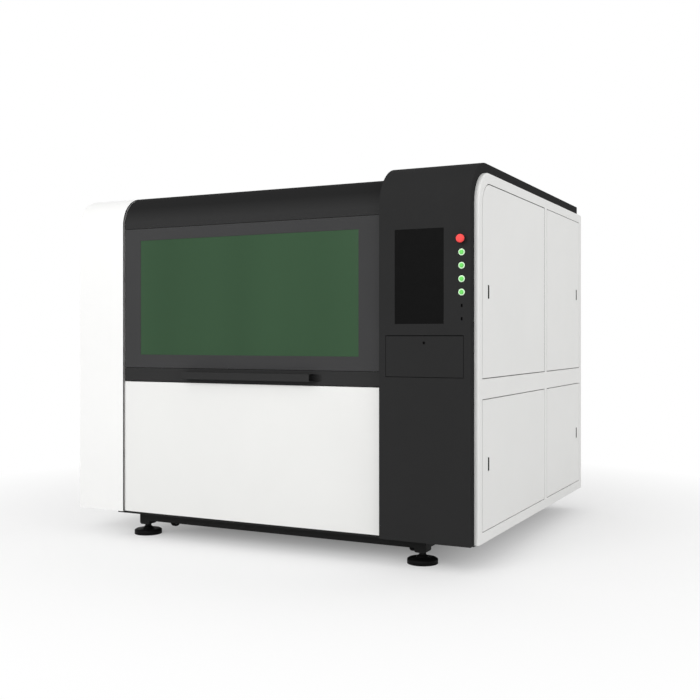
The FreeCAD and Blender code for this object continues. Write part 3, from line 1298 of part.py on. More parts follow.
def guide_block(x):
    """Bearing block over a guide rail, with the running gap on three sides."""
    y0 = gantry_y + (GANTRY_DEPTH - BLOCK_LENGTH) / 2
    z0 = BEAM_TOP + BLOCK_GAP
    block = box((x - BLOCK_WIDTH / 2, x + BLOCK_WIDTH / 2), (y0, y0 + BLOCK_LENGTH), (z0, z0 + BLOCK_HEIGHT))
    groove = box((x - GUIDE_WIDTH / 2 - SLIDE_CLEAR, x + GUIDE_WIDTH / 2 + SLIDE_CLEAR),
                 (y0 - 1, y0 + BLOCK_LENGTH + 1), (z0 - 1, BEAM_TOP + GUIDE_HEIGHT + SLIDE_CLEAR))
    return cut(block, groove)


def gantry_beam():
    """Hollow beam on two bearing blocks, with the drive coils and the carriage's rails."""
    x0, x1 = beam_left + 5, beam_right + BEAM_WIDTH - 5
    tube = cut(box((x0, x1), (gantry_y, gantry_y + GANTRY_DEPTH), (GANTRY_LOW, gantry_top)),
               box((x0 - 1, x1 + 1), (gantry_y + GANTRY_WALL, gantry_y + GANTRY_DEPTH - GANTRY_WALL),
                   (GANTRY_LOW + GANTRY_WALL, gantry_top - GANTRY_WALL)))
    parts = [tube]
    block_top = BEAM_TOP + BLOCK_GAP + BLOCK_HEIGHT
    for guide, track in ((guide_left, track_left), (guide_right, track_right)):
        parts.append(guide_block(guide))
        s0 = min(guide - BLOCK_WIDTH / 2, track - TRACK_WIDTH / 2)
        s1 = max(guide + BLOCK_WIDTH / 2, track + TRACK_WIDTH / 2)
        parts.append(box((s0, s1), (gantry_y, gantry_y + GANTRY_DEPTH), (block_top, GANTRY_LOW)))
        parts.append(box((track - TRACK_WIDTH / 2, track + TRACK_WIDTH / 2),
                         (gantry_y + 10, gantry_y + GANTRY_DEPTH - 10),
                         (BEAM_TOP + TRACK_HEIGHT + 1, block_top)))
    for z in x_rail_zs:
        parts.append(box((x0 + 10, x1 - 10), (gantry_y - GUIDE_HEIGHT, gantry_y),
                         (z - GUIDE_WIDTH / 2, z + GUIDE_WIDTH / 2)))
    return fuse(*parts)


def about_carriage(half):
    """X range on both sides of the carriage's middle."""
    return CARRIAGE_REST - half, CARRIAGE_REST + half


def x_carriage():
    """Carriage plate on the beam's rails, with its bearing blocks and the lift unit's housing."""
    x0, x1 = CARRIAGE_REST - CARRIAGE_WIDTH / 2, CARRIAGE_REST + CARRIAGE_WIDTH / 2
    back = gantry_y - BLOCK_GAP
    front = back - BLOCK_HEIGHT
    plate_z = (rail_mid - CARRIAGE_HEIGHT / 2, rail_mid + CARRIAGE_HEIGHT / 2)
    parts = [box((x0, x1), (front - CARRIAGE_PLATE, front), plate_z)]
    for z in x_rail_zs:
        block = box((x0 + 10, x1 - 10), (front, back), (z - BLOCK_WIDTH / 2, z + BLOCK_WIDTH / 2))
        groove = box((x0, x1), (gantry_y - GUIDE_HEIGHT - SLIDE_CLEAR, back + 1),
                     (z - GUIDE_WIDTH / 2 - SLIDE_CLEAR, z + GUIDE_WIDTH / 2 + SLIDE_CLEAR))
        parts.append(cut(block, groove))
    module_top = module_low + Z_MODULE_HEIGHT
    depth = (module_front, front - CARRIAGE_PLATE)
    module = box(about_carriage(Z_MODULE_WIDTH / 2), depth, (module_low, module_top))
    motor = box(about_carriage(Z_MOTOR_HALF), depth, (module_top, module_top + Z_MOTOR_HEIGHT))
    rail = box(about_carriage(Z_SCREW_HOUSING), (module_front - Z_RAIL, module_front),
               (module_low + Z_RAIL_END, module_top - Z_RAIL_END))
    return fuse(*parts, module, motor, rail)


rail_mid = sum(x_rail_zs) / 2
module_front = gantry_y - BLOCK_GAP - BLOCK_HEIGHT - CARRIAGE_PLATE - Z_MODULE_DEPTH
module_low = rail_mid - CARRIAGE_HEIGHT / 2 + Z_MODULE_RISE


def cutting_head():
    """Head body with its collimator, nozzle and the saddle that runs on the lift unit's rail."""
    y = module_front - Z_RAIL - SADDLE_DEPTH - HEAD_RADIUS
    low = NOZZLE_HEIGHT + NOZZLE_LENGTH
    top = low + HEAD_LENGTH
    saddle = box(about_carriage(SADDLE_HALF), (y + HEAD_RADIUS - HEAD_ROUND, module_front - BLOCK_GAP),
                 (low + SADDLE_RISE, low + SADDLE_RISE + SADDLE_HEIGHT))
    groove = box(about_carriage(Z_SCREW_HOUSING + SLIDE_CLEAR),
                 (module_front - Z_RAIL - SLIDE_CLEAR, module_front + 1), (low, top + SADDLE_RISE))
    body = box(about_carriage(HEAD_RADIUS), (y - HEAD_RADIUS, y + HEAD_RADIUS), (low + NECK_HEIGHT, top))
    body = body.makeFillet(HEAD_ROUND, [e for e in body.Edges if e.BoundBox.ZLength > 1])
    neck = bar_z(CARRIAGE_REST, y, NECK_RADIUS, low, low + NECK_HEIGHT)
    collimator = bar_z(CARRIAGE_REST, y, COLLIMATOR_RADIUS, top, top + COLLIMATOR_HEIGHT)
    connector = bar_z(CARRIAGE_REST, y, CONNECTOR_RADIUS, top + COLLIMATOR_HEIGHT,
                      top + COLLIMATOR_HEIGHT + CONNECTOR_HEIGHT)
    nozzle = Part.makeCone(NOZZLE_TIP, HEAD_RADIUS * 0.6, NOZZLE_LENGTH, V(CARRIAGE_REST, y, NOZZLE_HEIGHT))
    bore = bar_z(CARRIAGE_REST, y, NOZZLE_BORE, NOZZLE_HEIGHT - 1, low + 10)
    return cut(fuse(cut(saddle, groove), body, neck, collimator, connector, nozzle), bore)


save("gantry_beam", gantry_beam())
save("x_carriage", x_carriage())
save("cutting_head", cutting_head())


# ---------------------------------------------------------------- scrap drawer
def scrap_drawer():
    """Floor, sides and ends of the welded open tray under the table, drawn out through the rear wall."""
    y0 = y_rear - DRAWER_LENGTH
    wall_z = (DRAWER_LOW + SHEET, DRAWER_LOW + DRAWER_HEIGHT)
    floor = box((drawer_x0, drawer_x1), (y0, y_rear), (DRAWER_LOW, DRAWER_LOW + SHEET))
    sides = [box((x, x + SHEET), (y0, y_rear), wall_z) for x in (drawer_x0, drawer_x1 - SHEET)]
    ends = [box((drawer_x0 + SHEET, drawer_x1 - SHEET), (y, y + SHEET), wall_z) for y in (y0, y_rear - SHEET)]
    return [floor, *sides, *ends]


def drawer_grip():
    """Bow grip of round bar on the drawer's outer face."""
    z = DRAWER_LOW + DRAWER_HEIGHT / 2
    half = DRAWER_GRIP / 2
    legs = [bar_y(DRAWER_CENTRE_X + side * half, z, GRIP_BAR, y_rear, y_rear + GRIP_REACH)
            for side in (-1, 1)]
    rail = bar_x(y_rear + GRIP_REACH - GRIP_BAR, z, GRIP_BAR,
                 DRAWER_CENTRE_X - half - GRIP_BAR, DRAWER_CENTRE_X + half + GRIP_BAR)
    return fuse(*legs, rail)


save("scrap_drawer", *scrap_drawer(), drawer_grip())


# ---------------------------------------------------------------- services
fan_y1 = y_rear - SHEET
fan_y0 = fan_y1 - FAN_DEPTH


def ring_y(x, z, outer, inner, y0, y1):
    """Round tube or flat ring along Y."""
    return cut(bar_y(x, z, outer, y0, y1), bar_y(x, z, inner, y0 - 1, y1 + 1))


def fan_plate(bore, y0):
    """Square plate of the fan with a round bore."""
    half = FAN_BOX / 2
    return cut(box((FAN_X - half, FAN_X + half), (y0, y0 + FAN_PLATE), (FAN_Z - half, FAN_Z + half)),
               bar_y(FAN_X, FAN_Z, bore, y0 - 1, y0 + FAN_PLATE + 1))


def fan_inlet():
    """Wide round mouth in front of the fan's casing, with its square plate."""
    mouth = FAN_RADIUS + FAN_MOUTH_STEP
    collar = ring_y(FAN_X, FAN_Z, mouth + FAN_WALL, mouth, fan_y0, fan_y0 + FAN_MOUTH_DEPTH)
    return fuse(fan_plate(mouth, fan_y0), collar)


def fan_housing():
    """Round casing of the extraction fan, stepped out to its mouth, with a square plate on the rear wall."""
    y0 = fan_y0 + FAN_MOUTH_DEPTH
    tube = ring_y(FAN_X, FAN_Z, FAN_RADIUS + FAN_WALL, FAN_RADIUS, y0, fan_y1)
    step = ring_y(FAN_X, FAN_Z, FAN_RADIUS + FAN_MOUTH_STEP + FAN_WALL, FAN_RADIUS, y0, y0 + FAN_PLATE)
    return fuse(tube, step, fan_plate(FAN_RADIUS, fan_y1 - FAN_PLATE))


def fan_motor():
    """Motor and shaft of the fan on flat arms that reach the casing."""
    y0 = fan_y0 + MOTOR_FROM_INLET
    motor = bar_y(FAN_X, FAN_Z, FAN_HUB, y0, fan_y1 - SPIGOT_WALL)
    shaft = bar_y(FAN_X, FAN_Z, FAN_SHAFT, fan_y0 + ROTOR_FROM_INLET - SPIGOT_WALL, y0 + 1)
    arms = []
    for i in range(MOTOR_ARMS):
        arm = box((FAN_X, FAN_X + FAN_RADIUS), (y0 + MOTOR_ARM, y0 + 2 * MOTOR_ARM),
                  (FAN_Z - MOTOR_ARM / 2, FAN_Z + MOTOR_ARM / 2))
        arm.rotate(V(FAN_X, 0, FAN_Z), V(0, 1, 0), 360 * (i + 0.25) / MOTOR_ARMS)
        arms.append(arm)
    inside = bar_y(FAN_X, FAN_Z, FAN_RADIUS, fan_y0, fan_y1)
    return fuse(motor, shaft, *arms).common(inside)


def exhaust_spigot():
    """Hose spigot with its flange on the rear wall and a thinner neck through both."""
    bore = SPIGOT_RADIUS - SPIGOT_WALL
    neck_end = y_rear + 2 * FAN_PLATE
    neck = ring_y(FAN_X, FAN_Z, SPIGOT_RADIUS - SPIGOT_RELIEF, bore, y_rear - SHEET, neck_end)
    tube = ring_y(FAN_X, FAN_Z, SPIGOT_RADIUS, bore, neck_end, y_rear + SPIGOT_PROUD)
    flange = ring_y(FAN_X, FAN_Z, SPIGOT_FLANGE, bore, y_rear, y_rear + FAN_PLATE)
    return fuse(neck, tube, flange)


def fan_rotor():
    """Impeller with pitched blades."""
    y0 = fan_y0 + ROTOR_FROM_INLET
    y1 = y0 + ROTOR_LENGTH
    hub = bar_y(FAN_X, FAN_Z, FAN_HUB, y0, y1)
    blades = []
    for i in range(FAN_BLADES):
        blade = box((FAN_X + FAN_HUB - 2 * FAN_BLADE, FAN_X + FAN_RADIUS - FAN_TIP_GAP),
                    (y0 + FAN_BLADE, y1 - FAN_BLADE), (FAN_Z - FAN_BLADE / 2, FAN_Z + FAN_BLADE / 2))
        blade.rotate(V(FAN_X, (y0 + y1) / 2, FAN_Z), V(1, 0, 0), FAN_TURN)
        blade.rotate(V(FAN_X, 0, FAN_Z), V(0, 1, 0), 360 * i / FAN_BLADES)
        blades.append(blade)
    return cut(fuse(hub, *blades), bar_y(FAN_X, FAN_Z, FAN_SHAFT + RUN, y0 - 1, y1 + 1))


cabinet_mid = (x_partition + SHEET + x_side) / 2


def hollow_case(x, y, z):
    """Sheet case of a bought-in unit."""
    inner = [(low + CASE_WALL, high - CASE_WALL) for low, high in (x, y, z)]
    return cut(box(x, y, z), box(*inner))


def case_feet(x0, y0, z0, w, d, inset, radius, height):
    """Four round feet under a case that is w wide and d deep."""
    return [bar_z(x0 + fx, y0 + fy, radius, z0, z0 + height)
            for fx in (inset, w - inset) for fy in (inset, d - inset)]


def laser_source():
    """Laser source cabinet with feet, front grip plates and the fibre outlet."""
    w, d, h = SOURCE_SIZE
    x0, y0, z0 = cabinet_mid - w / 2, front_door_y[0] + SOURCE_SETBACK, FLOOR_GAP
    case = hollow_case((x0, x0 + w), (y0, y0 + d), (z0 + SOURCE_FOOT[1] - 1, z0 + h))
    slot_y = (y0 + SOURCE_SETBACK, y0 + d - SOURCE_SETBACK)
    vents = []
    for i in range(SOURCE_VENTS):
        z = z0 + SOURCE_EDGE + i * SOURCE_VENT_PITCH
        vents.append(box((x0 + w - CASE_WALL - 1, x0 + w + 1), slot_y, (z, z + SOURCE_VENT_HEIGHT)))
    feet = case_feet(x0, y0, z0, w, d, SOURCE_INSET, *SOURCE_FOOT)
    outlet = bar_z(x0 + w / 2, y0 + d - SOURCE_EDGE, SOURCE_OUTLET, z0 + h - 1, z0 + h + SOURCE_EDGE)
    grips = [box((x0 + w - 1, x0 + w + SOURCE_GRIP[0]), (y, y + SOURCE_GRIP[1]),
                 (z0 + SOURCE_EDGE, z0 + h - SOURCE_EDGE))
             for y in (y0 + SOURCE_INSET, y0 + d - SOURCE_INSET - SOURCE_GRIP[1])]
    return fuse(cut(case, *vents), outlet, *feet, *grips)


def chiller():
    """Water chiller with its fan grille, filler cap and hose tails."""
    w, d, h = CHILLER_SIZE
    x0, y0, z0 = cabinet_mid - w / 2, y_rear - CHILLER_FROM_REAR - d, FLOOR_GAP
    x_mid, top = x0 + w / 2, z0 + h
    case = hollow_case((x0, x0 + w), (y0, y0 + d), (z0 + CHILLER_FOOT[1] - 1, top))
    feet = case_feet(x0, y0, z0, w, d, CHILLER_INSET, *CHILLER_FOOT)
    cap = bar_z(x_mid, y0 + CHILLER_CAP_PLACE, CHILLER_CAP[0], top - 1, top + CHILLER_CAP[1])
    tails = [bar_z(x_mid + t, y0 + d - CHILLER_EDGE, CHILLER_TAIL[0], top - 1, top + CHILLER_TAIL[1])
             for t in (-CHILLER_TAIL_SPREAD, CHILLER_TAIL_SPREAD)]
    slot_y = (y0 + CHILLER_EDGE, y0 + d - CHILLER_EDGE)
    slots = []
    for i in range(CHILLER_SLOTS):
        z = z0 + 2 * CHILLER_EDGE + i * CHILLER_SLOT_PITCH
        slots.append(box((x0 + w - 2 * CASE_WALL, x0 + w + 1), slot_y, (z, z + CHILLER_SLOT_HEIGHT)))
    return cut(fuse(case, cap, *feet, *tails), *slots)


def electrical_panel():
    """Mounting plate on the partition with drives, breakers, terminals and cable duct."""
    width, height = CABINET_PLATE
    x0 = x_partition + SHEET
    y0 = front_door_y[0] + CABINET_PLATE_SETBACK
    z0 = CABINET_PLATE_LOW
    face = x0 + CABINET_PLATE_THICK

    def unit(proud, y, z):
        """Block on the plate, from Y and Z ranges on the plate."""
        return box((face - 1, face + proud), (y0 + y[0], y0 + y[1]), (z0 + z[0], z0 + z[1]))

    parts = [box((x0, face), (y0, y0 + width), (z0, z0 + height))]
    for count, pitch, proud, y, z in CABINET_UNITS:
        parts += [unit(proud, (y[0] + i * pitch, y[1] + i * pitch), z) for i in range(count)]
    return fuse(*parts)


save("fan_housing", fan_inlet(), fan_housing(), fan_motor(), exhaust_spigot())
save("fan_rotor", fan_rotor())
save("laser_source", laser_source())
save("chiller", chiller())
save("electrical_panel", electrical_panel())
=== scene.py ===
"""Looks of an enclosed sheet laser cutting machine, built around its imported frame.

The frame's own axes: +Z up, -Y towards the operator, +X to the operator's right. Lengths are in metres, and the
small parts' own sizes go through mm().
"""

import json
import math

import bmesh
import bpy
import numpy as np
from bpy.props import FloatProperty, FloatVectorProperty, PointerProperty
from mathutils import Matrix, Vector


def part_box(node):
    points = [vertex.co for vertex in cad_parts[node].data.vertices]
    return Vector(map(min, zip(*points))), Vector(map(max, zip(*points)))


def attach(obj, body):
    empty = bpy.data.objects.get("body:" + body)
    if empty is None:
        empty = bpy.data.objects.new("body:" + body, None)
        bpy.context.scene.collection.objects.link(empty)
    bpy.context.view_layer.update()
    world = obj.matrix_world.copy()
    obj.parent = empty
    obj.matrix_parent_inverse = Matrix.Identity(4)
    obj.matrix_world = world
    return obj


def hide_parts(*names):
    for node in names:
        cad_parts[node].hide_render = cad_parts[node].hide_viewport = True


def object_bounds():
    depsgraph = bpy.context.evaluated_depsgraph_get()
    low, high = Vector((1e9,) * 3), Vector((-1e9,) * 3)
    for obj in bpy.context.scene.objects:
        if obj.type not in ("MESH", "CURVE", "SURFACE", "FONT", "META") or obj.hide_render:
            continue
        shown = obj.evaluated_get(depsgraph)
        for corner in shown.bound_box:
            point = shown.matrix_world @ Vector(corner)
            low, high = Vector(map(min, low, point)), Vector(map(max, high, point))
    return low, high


bl_info = {
    "name": "Laser cutting machine finish",
    "version": (2, 0, 0),
    "blender": (4, 5, 0),
    "location": "View3D > Sidebar > Laser machine",
    "description": "Paints the packed laser cutting machine, adds its small parts and sets its studio",
    "category": "Object",
}

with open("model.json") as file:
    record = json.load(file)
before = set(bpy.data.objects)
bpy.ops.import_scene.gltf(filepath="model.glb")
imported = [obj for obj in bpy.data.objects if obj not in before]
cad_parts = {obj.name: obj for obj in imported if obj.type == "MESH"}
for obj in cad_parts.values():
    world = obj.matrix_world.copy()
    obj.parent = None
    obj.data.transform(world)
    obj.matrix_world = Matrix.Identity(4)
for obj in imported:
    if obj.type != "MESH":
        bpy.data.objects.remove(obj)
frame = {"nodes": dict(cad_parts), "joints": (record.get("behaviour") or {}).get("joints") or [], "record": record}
cad_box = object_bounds()
MERGE = 1e-6        # points nearer than this become one
MM = 0.001          # one millimetre
FRONT, REAR, LEFT, RIGHT, TOP = (0, -1, 0), (0, 1, 0), (-1, 0, 0), (1, 0, 0), (0, 0, 1)
SIDE_DOORS = "upper_front", "upper_rear", "lower_front", "lower_rear"
CASTERS = "front_left", "rear_left", "front_right", "rear_right"


# --- settings
def colour_setting(name, description, default):
    """A colour property with a linear default."""
    return FloatVectorProperty(name=name, description=description, default=default, subtype="COLOR", size=3,
                               min=0.0, max=1.0)


def place_setting(name, description, default):
    """A place property in metres."""
    return FloatVectorProperty(name=name, description=description, default=default, subtype="TRANSLATION", size=3)


def number_setting(name, description, default, **kind):
    """A number property, with its unit or its subtype where it has one."""
    return FloatProperty(name=name, description=description, default=default, **kind)


def length_setting(name, description, default):
    """A length property in metres."""
    return number_setting(name, description, default, unit="LENGTH")


class StudioSettings(bpy.types.PropertyGroup):
    """Floor, daylight, lamps and camera."""

    camera_place: place_setting("Camera place", "Where the camera stands", (2.4956, -4.960, 1.021))
    camera_turn: number_setting("Camera turn", "Turn of the level camera to the left of straight in",
                                math.radians(26.42), subtype="ANGLE")
    lens: number_setting("Lens", "Focal length for a 36 mm wide picture", 51.02, subtype="DISTANCE_CAMERA")
    picture_rise: number_setting("Picture rise", "Upward shift of the picture as a part of its width", -0.0193)
    floor_side: length_setting("Floor side", "Side of the square floor", 40.0)
    floor_colour: colour_setting("Floor colour", "Colour that the floor bounces onto the machine", (0.80, 0.80, 0.80))
    floor_seen: colour_setting("Floor seen", "Floor colour for the camera, darkened by the shadows",
                               (0.57, 0.57, 0.57))
    floor_lift: number_setting("Floor lift", "Light that the floor sends to the camera alone", 0.40)
    # painted shadow: the camera's floor lift falls to this value at this depth under the machine
    shadow_lift_below: number_setting("Lift below", "The same deep under the machine", 0.12)
    shadow_depth_below: length_setting("Depth below", "Depth under the machine at which that lift is reached", 0.55)
    fade_start: length_setting("Fade start", "Distance from the middle at which the floor starts to turn white", 1.5)
    fade_end: length_setting("Fade end", "Distance from the middle from which the floor is white", 3.1)
    daylight: number_setting("Daylight", "Strength of the light from all round", 0.86)
    zenith: number_setting("Zenith", "Strength of the light from straight above", 0.60)
    key_place: place_setting("Key lamp place", "Where the large front lamp stands", (-0.3, -6.0, 3.4))
    key_power: number_setting("Key lamp", "Power of the large lamp at the front", 138.0, unit="POWER")
    fill_place: place_setting("Fill lamp place", "Where the lamp at the right stands", (6.5, -1.5, 3.5))
    fill_power: number_setting("Fill lamp", "Power of the lamp at the right", 62.0, unit="POWER")
    lamp_side: length_setting("Lamp side", "Side of the square lamps", 3.5)


class CoatSettings(bpy.types.PropertyGroup):
    """Colours of the coated sheet metal, and the coat's grain."""

    white: colour_setting("White coat", "Side frame, doors and lower panel", (0.80, 0.80, 0.785))
    # painted light: the casing coat is a brighter copy of the white coat, standing for the light that washes the left
    # casing out
    casing: colour_setting("Casing coat", "Left casing", (0.88, 0.88, 0.87))
    charcoal: colour_setting("Charcoal coat", "Column, flap and hood", (0.0258, 0.0258, 0.0260))
    band: colour_setting("Band coat", "Band under the window, and its handle", (0.0335, 0.0335, 0.0337))
    window: colour_setting("Window panel coat", "Folded panel round the window", (0.050, 0.050, 0.051))
    black: colour_setting("Black coat", "Base and rails", (0.017, 0.017, 0.017))
    foot: colour_setting("Foot coat", "Levelling feet", (0.006, 0.006, 0.006))
    inner: colour_setting("Inner coat", "Walls inside the chamber and the cabinet", (0.42, 0.43, 0.43))
    case: colour_setting("Unit case", "Cases of the laser source and the chiller", (0.74, 0.74, 0.73))
    grain: length_setting("Coat grain", "Size of the coat's fine grain", 0.0016)
    grain_depth: length_setting("Coat grain depth", "Depth of the coat's fine grain", 0.00006)


class FittingSettings(bpy.types.PropertyGroup):
    """Colours of glass, plastics and bare metals."""

    glass: colour_setting("Laser glass", "Green of the window pane", (0.0385, 0.0800, 0.0420))
    screen: colour_setting("Screen", "Dark touch screen", (0.005, 0.005, 0.005))
    rubber: colour_setting("Rubber", "Seals, tyres and foot pads", (0.008, 0.008, 0.008))
    plastic: colour_setting("Black plastic", "Latches, keys and boots", (0.005, 0.005, 0.005))
    ring: colour_setting("Button rings", "Pale rings round the push buttons", (0.68, 0.94, 0.64))
    button: colour_setting("Push buttons", "Lenses of the push buttons", (0.16, 0.70, 0.13))
    stop: colour_setting("Stop button", "Head of the stop button", (0.95, 0.085, 0.080))
    steel: colour_setting("Steel", "Ground and turned steel", (0.62, 0.63, 0.64))
    dark_steel: colour_setting("Dark steel", "Blackened screws and the flap lock", (0.10, 0.10, 0.105))
    aluminium: colour_setting("Aluminium", "Beam and fan wheel", (0.80, 0.81, 0.82))
    copper: colour_setting("Copper", "Cutting nozzle", (0.86, 0.42, 0.24))
    ceramic: colour_setting("Ceramic", "Cutting head, its insulator and breaker faces", (0.80, 0.78, 0.74))
    grey: colour_setting("Grey plastic", "Drives, ducts and terminals", (0.23, 0.24, 0.25))
    blue: colour_setting("Blue plastic", "Breaker toggles", (0.03, 0.12, 0.42))


class LaserMachineSettings(bpy.types.PropertyGroup):
    """All settings of the finished machine."""

    studio: PointerProperty(type=StudioSettings)
    coat: PointerProperty(type=CoatSettings)
    fitting: PointerProperty(type=FittingSettings)


# --- shader helpers
def fill(tree, node, inputs):
    """Puts plain numbers on a node's own inputs, and links sockets to them."""
    for name, value in inputs.items():
        if isinstance(value, bpy.types.NodeSocket):
            tree.links.new(value, node.inputs[name])
        else:
            node.inputs[name].default_value = value


def add_node(tree, kind, inputs=None, **settings):
    """A new shader node of that kind, with its settings and its inputs."""
    node = tree.nodes.new("ShaderNode" + kind)
    for name, value in settings.items():
        setattr(node, name, value)
    fill(tree, node, inputs or {})
    return node


def empty_tree(owner):
    """Node tree of a new material or world, with nothing in it."""
    owner.use_nodes = True
    owner.node_tree.nodes.clear()
    return owner.node_tree


def new_finish(name):
    """A fresh material: its node tree, its shader and its object coordinates."""
    tree = empty_tree(bpy.data.materials.new(name))
    shader = add_node(tree, "BsdfPrincipled")
    add_node(tree, "OutputMaterial", {"Surface": shader.outputs["BSDF"]})
    return tree, shader, add_node(tree, "TexCoord").outputs["Object"]


def rgba(colour, factor=1.0):
    """Colour times a factor, with full opacity."""
    return tuple(min(1.0, c * factor) for c in colour) + (1.0,)


def axis_of(tree, vector, axis):
    """One number of a vector."""
    return add_node(tree, "SeparateXYZ", {"Vector": vector}).outputs[axis]


def maths(tree, operation, first, second, kind="Math"):
    """Result of one operation on two numbers, or on two vectors where kind is VectorMath."""
    return add_node(tree, kind, {0: first, 1: second}, operation=operation).outputs[0]


def noise(tree, place, scale, detail=2.0):
    """Value of a noise pattern; scale is in pattern cells a metre, one for all or one for each axis."""
    if not isinstance(scale, (int, float)):
        place = add_node(tree, "Mapping", {"Vector": place, "Scale": scale}).outputs["Vector"]
        scale = 1.0
    return add_node(tree, "TexNoise", {"Vector": place, "Scale": scale, "Detail": detail}).outputs["Fac"]


def spread(tree, value, low, high, start=0.3, end=0.7):
    """Value between start and end, spread over low to high."""
    return add_node(tree, "MapRange", {"Value": value, "From Min": start, "From Max": end,
                                       "To Min": low, "To Max": high}).outputs["Result"]


def two_tone(tree, value, colour, tones, start=0.3, end=0.7, last=None):
    """Colour that goes from its first tone to its second, or to that of a last colour, as value goes to end."""
    ramp = add_node(tree, "ValToRGB", {"Fac": value})
    colours = colour, colour if last is None else last
    for element, position, base, tone in zip(ramp.color_ramp.elements, (start, end), colours, tones):
        element.position, element.color = position, rgba(base, tone)
    return ramp.outputs["Color"]


def relief(tree, height, depth):
    """Normals of a height pattern of that depth in metres."""
    return add_node(tree, "Bump", {"Height": height, "Distance": depth, "Strength": 0.5}).outputs["Normal"]


def coat_grain(tree, place):
    """Orange-peel relief of a sprayed coat."""
    coat = bpy.context.scene.laser_machine.coat
    return relief(tree, noise(tree, place, 1 / coat.grain, detail=1.0), coat.grain_depth)


# --- kinds of finish
def powder_coat(name, colour, roughness=0.5, gloss=0.03, drift=0.03):
    """Sprayed and baked coat: a slow drift of tone, a fine grain and an uneven sheen."""
    tree, shader, place = new_finish(name)
    slow = noise(tree, place, 2.3, detail=3.0)
    fill(tree, shader, {"Base Color": two_tone(tree, slow, colour, (1 - drift, 1 + drift)),
                        "Roughness": spread(tree, noise(tree, place, 9.0), roughness - 0.04, roughness + 0.04),
                        "Normal": coat_grain(tree, place), "Specular IOR Level": gloss})


def shade_graded_coat(name, colour, axis, start, end, tones, roughness=0.6, gloss=0.08):
    """Grained coat with painted shade: it goes from one tone of its colour to a tone of charcoal along an axis, from
    start to end.
    """
    tree, shader, place = new_finish(name)
    part = spread(tree, axis_of(tree, place, axis), 0.0, 1.0, start, end)
    charcoal = bpy.context.scene.laser_machine.coat.charcoal
    fill(tree, shader, {"Base Color": two_tone(tree, part, colour, tones, 0.0, 1.0, charcoal),
                        "Roughness": roughness, "Normal": coat_grain(tree, place), "Specular IOR Level": gloss})


def moulded(name, colour, roughness=0.45, gloss=0.25):
    """Moulded plastic or rubber with a slightly mottled sheen."""
    tree, shader, place = new_finish(name)
    fill(tree, shader, {"Base Color": two_tone(tree, noise(tree, place, 60.0), colour, (0.94, 1.06)),
                        "Roughness": spread(tree, noise(tree, place, 25.0), roughness - 0.05, roughness + 0.05),
                        "Normal": relief(tree, noise(tree, place, 900.0, detail=1.0), 0.00003),
                        "Specular IOR Level": gloss})


def bare_metal(name, colour, roughness=0.35, along=(400.0, 4.0, 400.0), stain=0.12):
    """Bare metal with fine lines along one axis and faint cloudy stains."""
    tree, shader, place = new_finish(name)
    lines, cloud = noise(tree, place, along), noise(tree, place, 11.0, detail=4.0)
    fill(tree, shader, {"Base Color": two_tone(tree, cloud, colour, (1 - stain, 1 + stain / 2)), "Metallic": 1.0,
                        "Roughness": spread(tree, lines, roughness - 0.07, roughness + 0.07),
                        "Normal": relief(tree, lines, 0.00004)})


def scorched_steel(name, colour, tip_height=0.745, burn_depth=0.035):
    """Mill steel of the slats: cloudy, and burnt darker and rougher towards the tooth tips at tip_height."""
    tree, shader, place = new_finish(name)
    cloud = noise(tree, place, 30.0, detail=5.0)
    burn = spread(tree, axis_of(tree, place, "Z"), 0.0, 0.75, tip_height - burn_depth, tip_height)
    burn = maths(tree, "MULTIPLY", burn, cloud)
    fill(tree, shader, {"Base Color": two_tone(tree, burn, colour, (0.75, 0.22), 0.05, 0.5), "Metallic": 0.9,
                        "Roughness": spread(tree, burn, 0.38, 0.7, 0.0, 0.5),
                        "Normal": relief(tree, cloud, 0.0002)})


def laser_glass(name, colour):
    """Tinted absorbing pane: a deep body colour that drifts faintly from side to side, under a smooth surface."""
    tree, shader, place = new_finish(name)
    bands = noise(tree, place, (2.6, 1.0, 0.15), detail=1.0)
    fill(tree, shader, {"Base Color": two_tone(tree, bands, colour, (0.93, 1.07)), "Specular IOR Level": 0.05,
                        "Roughness": spread(tree, noise(tree, place, 6.0), 0.10, 0.14)})


HOOD_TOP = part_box("hood_shell")[1][2]
HANDLE_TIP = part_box("door_handle")[1][0]
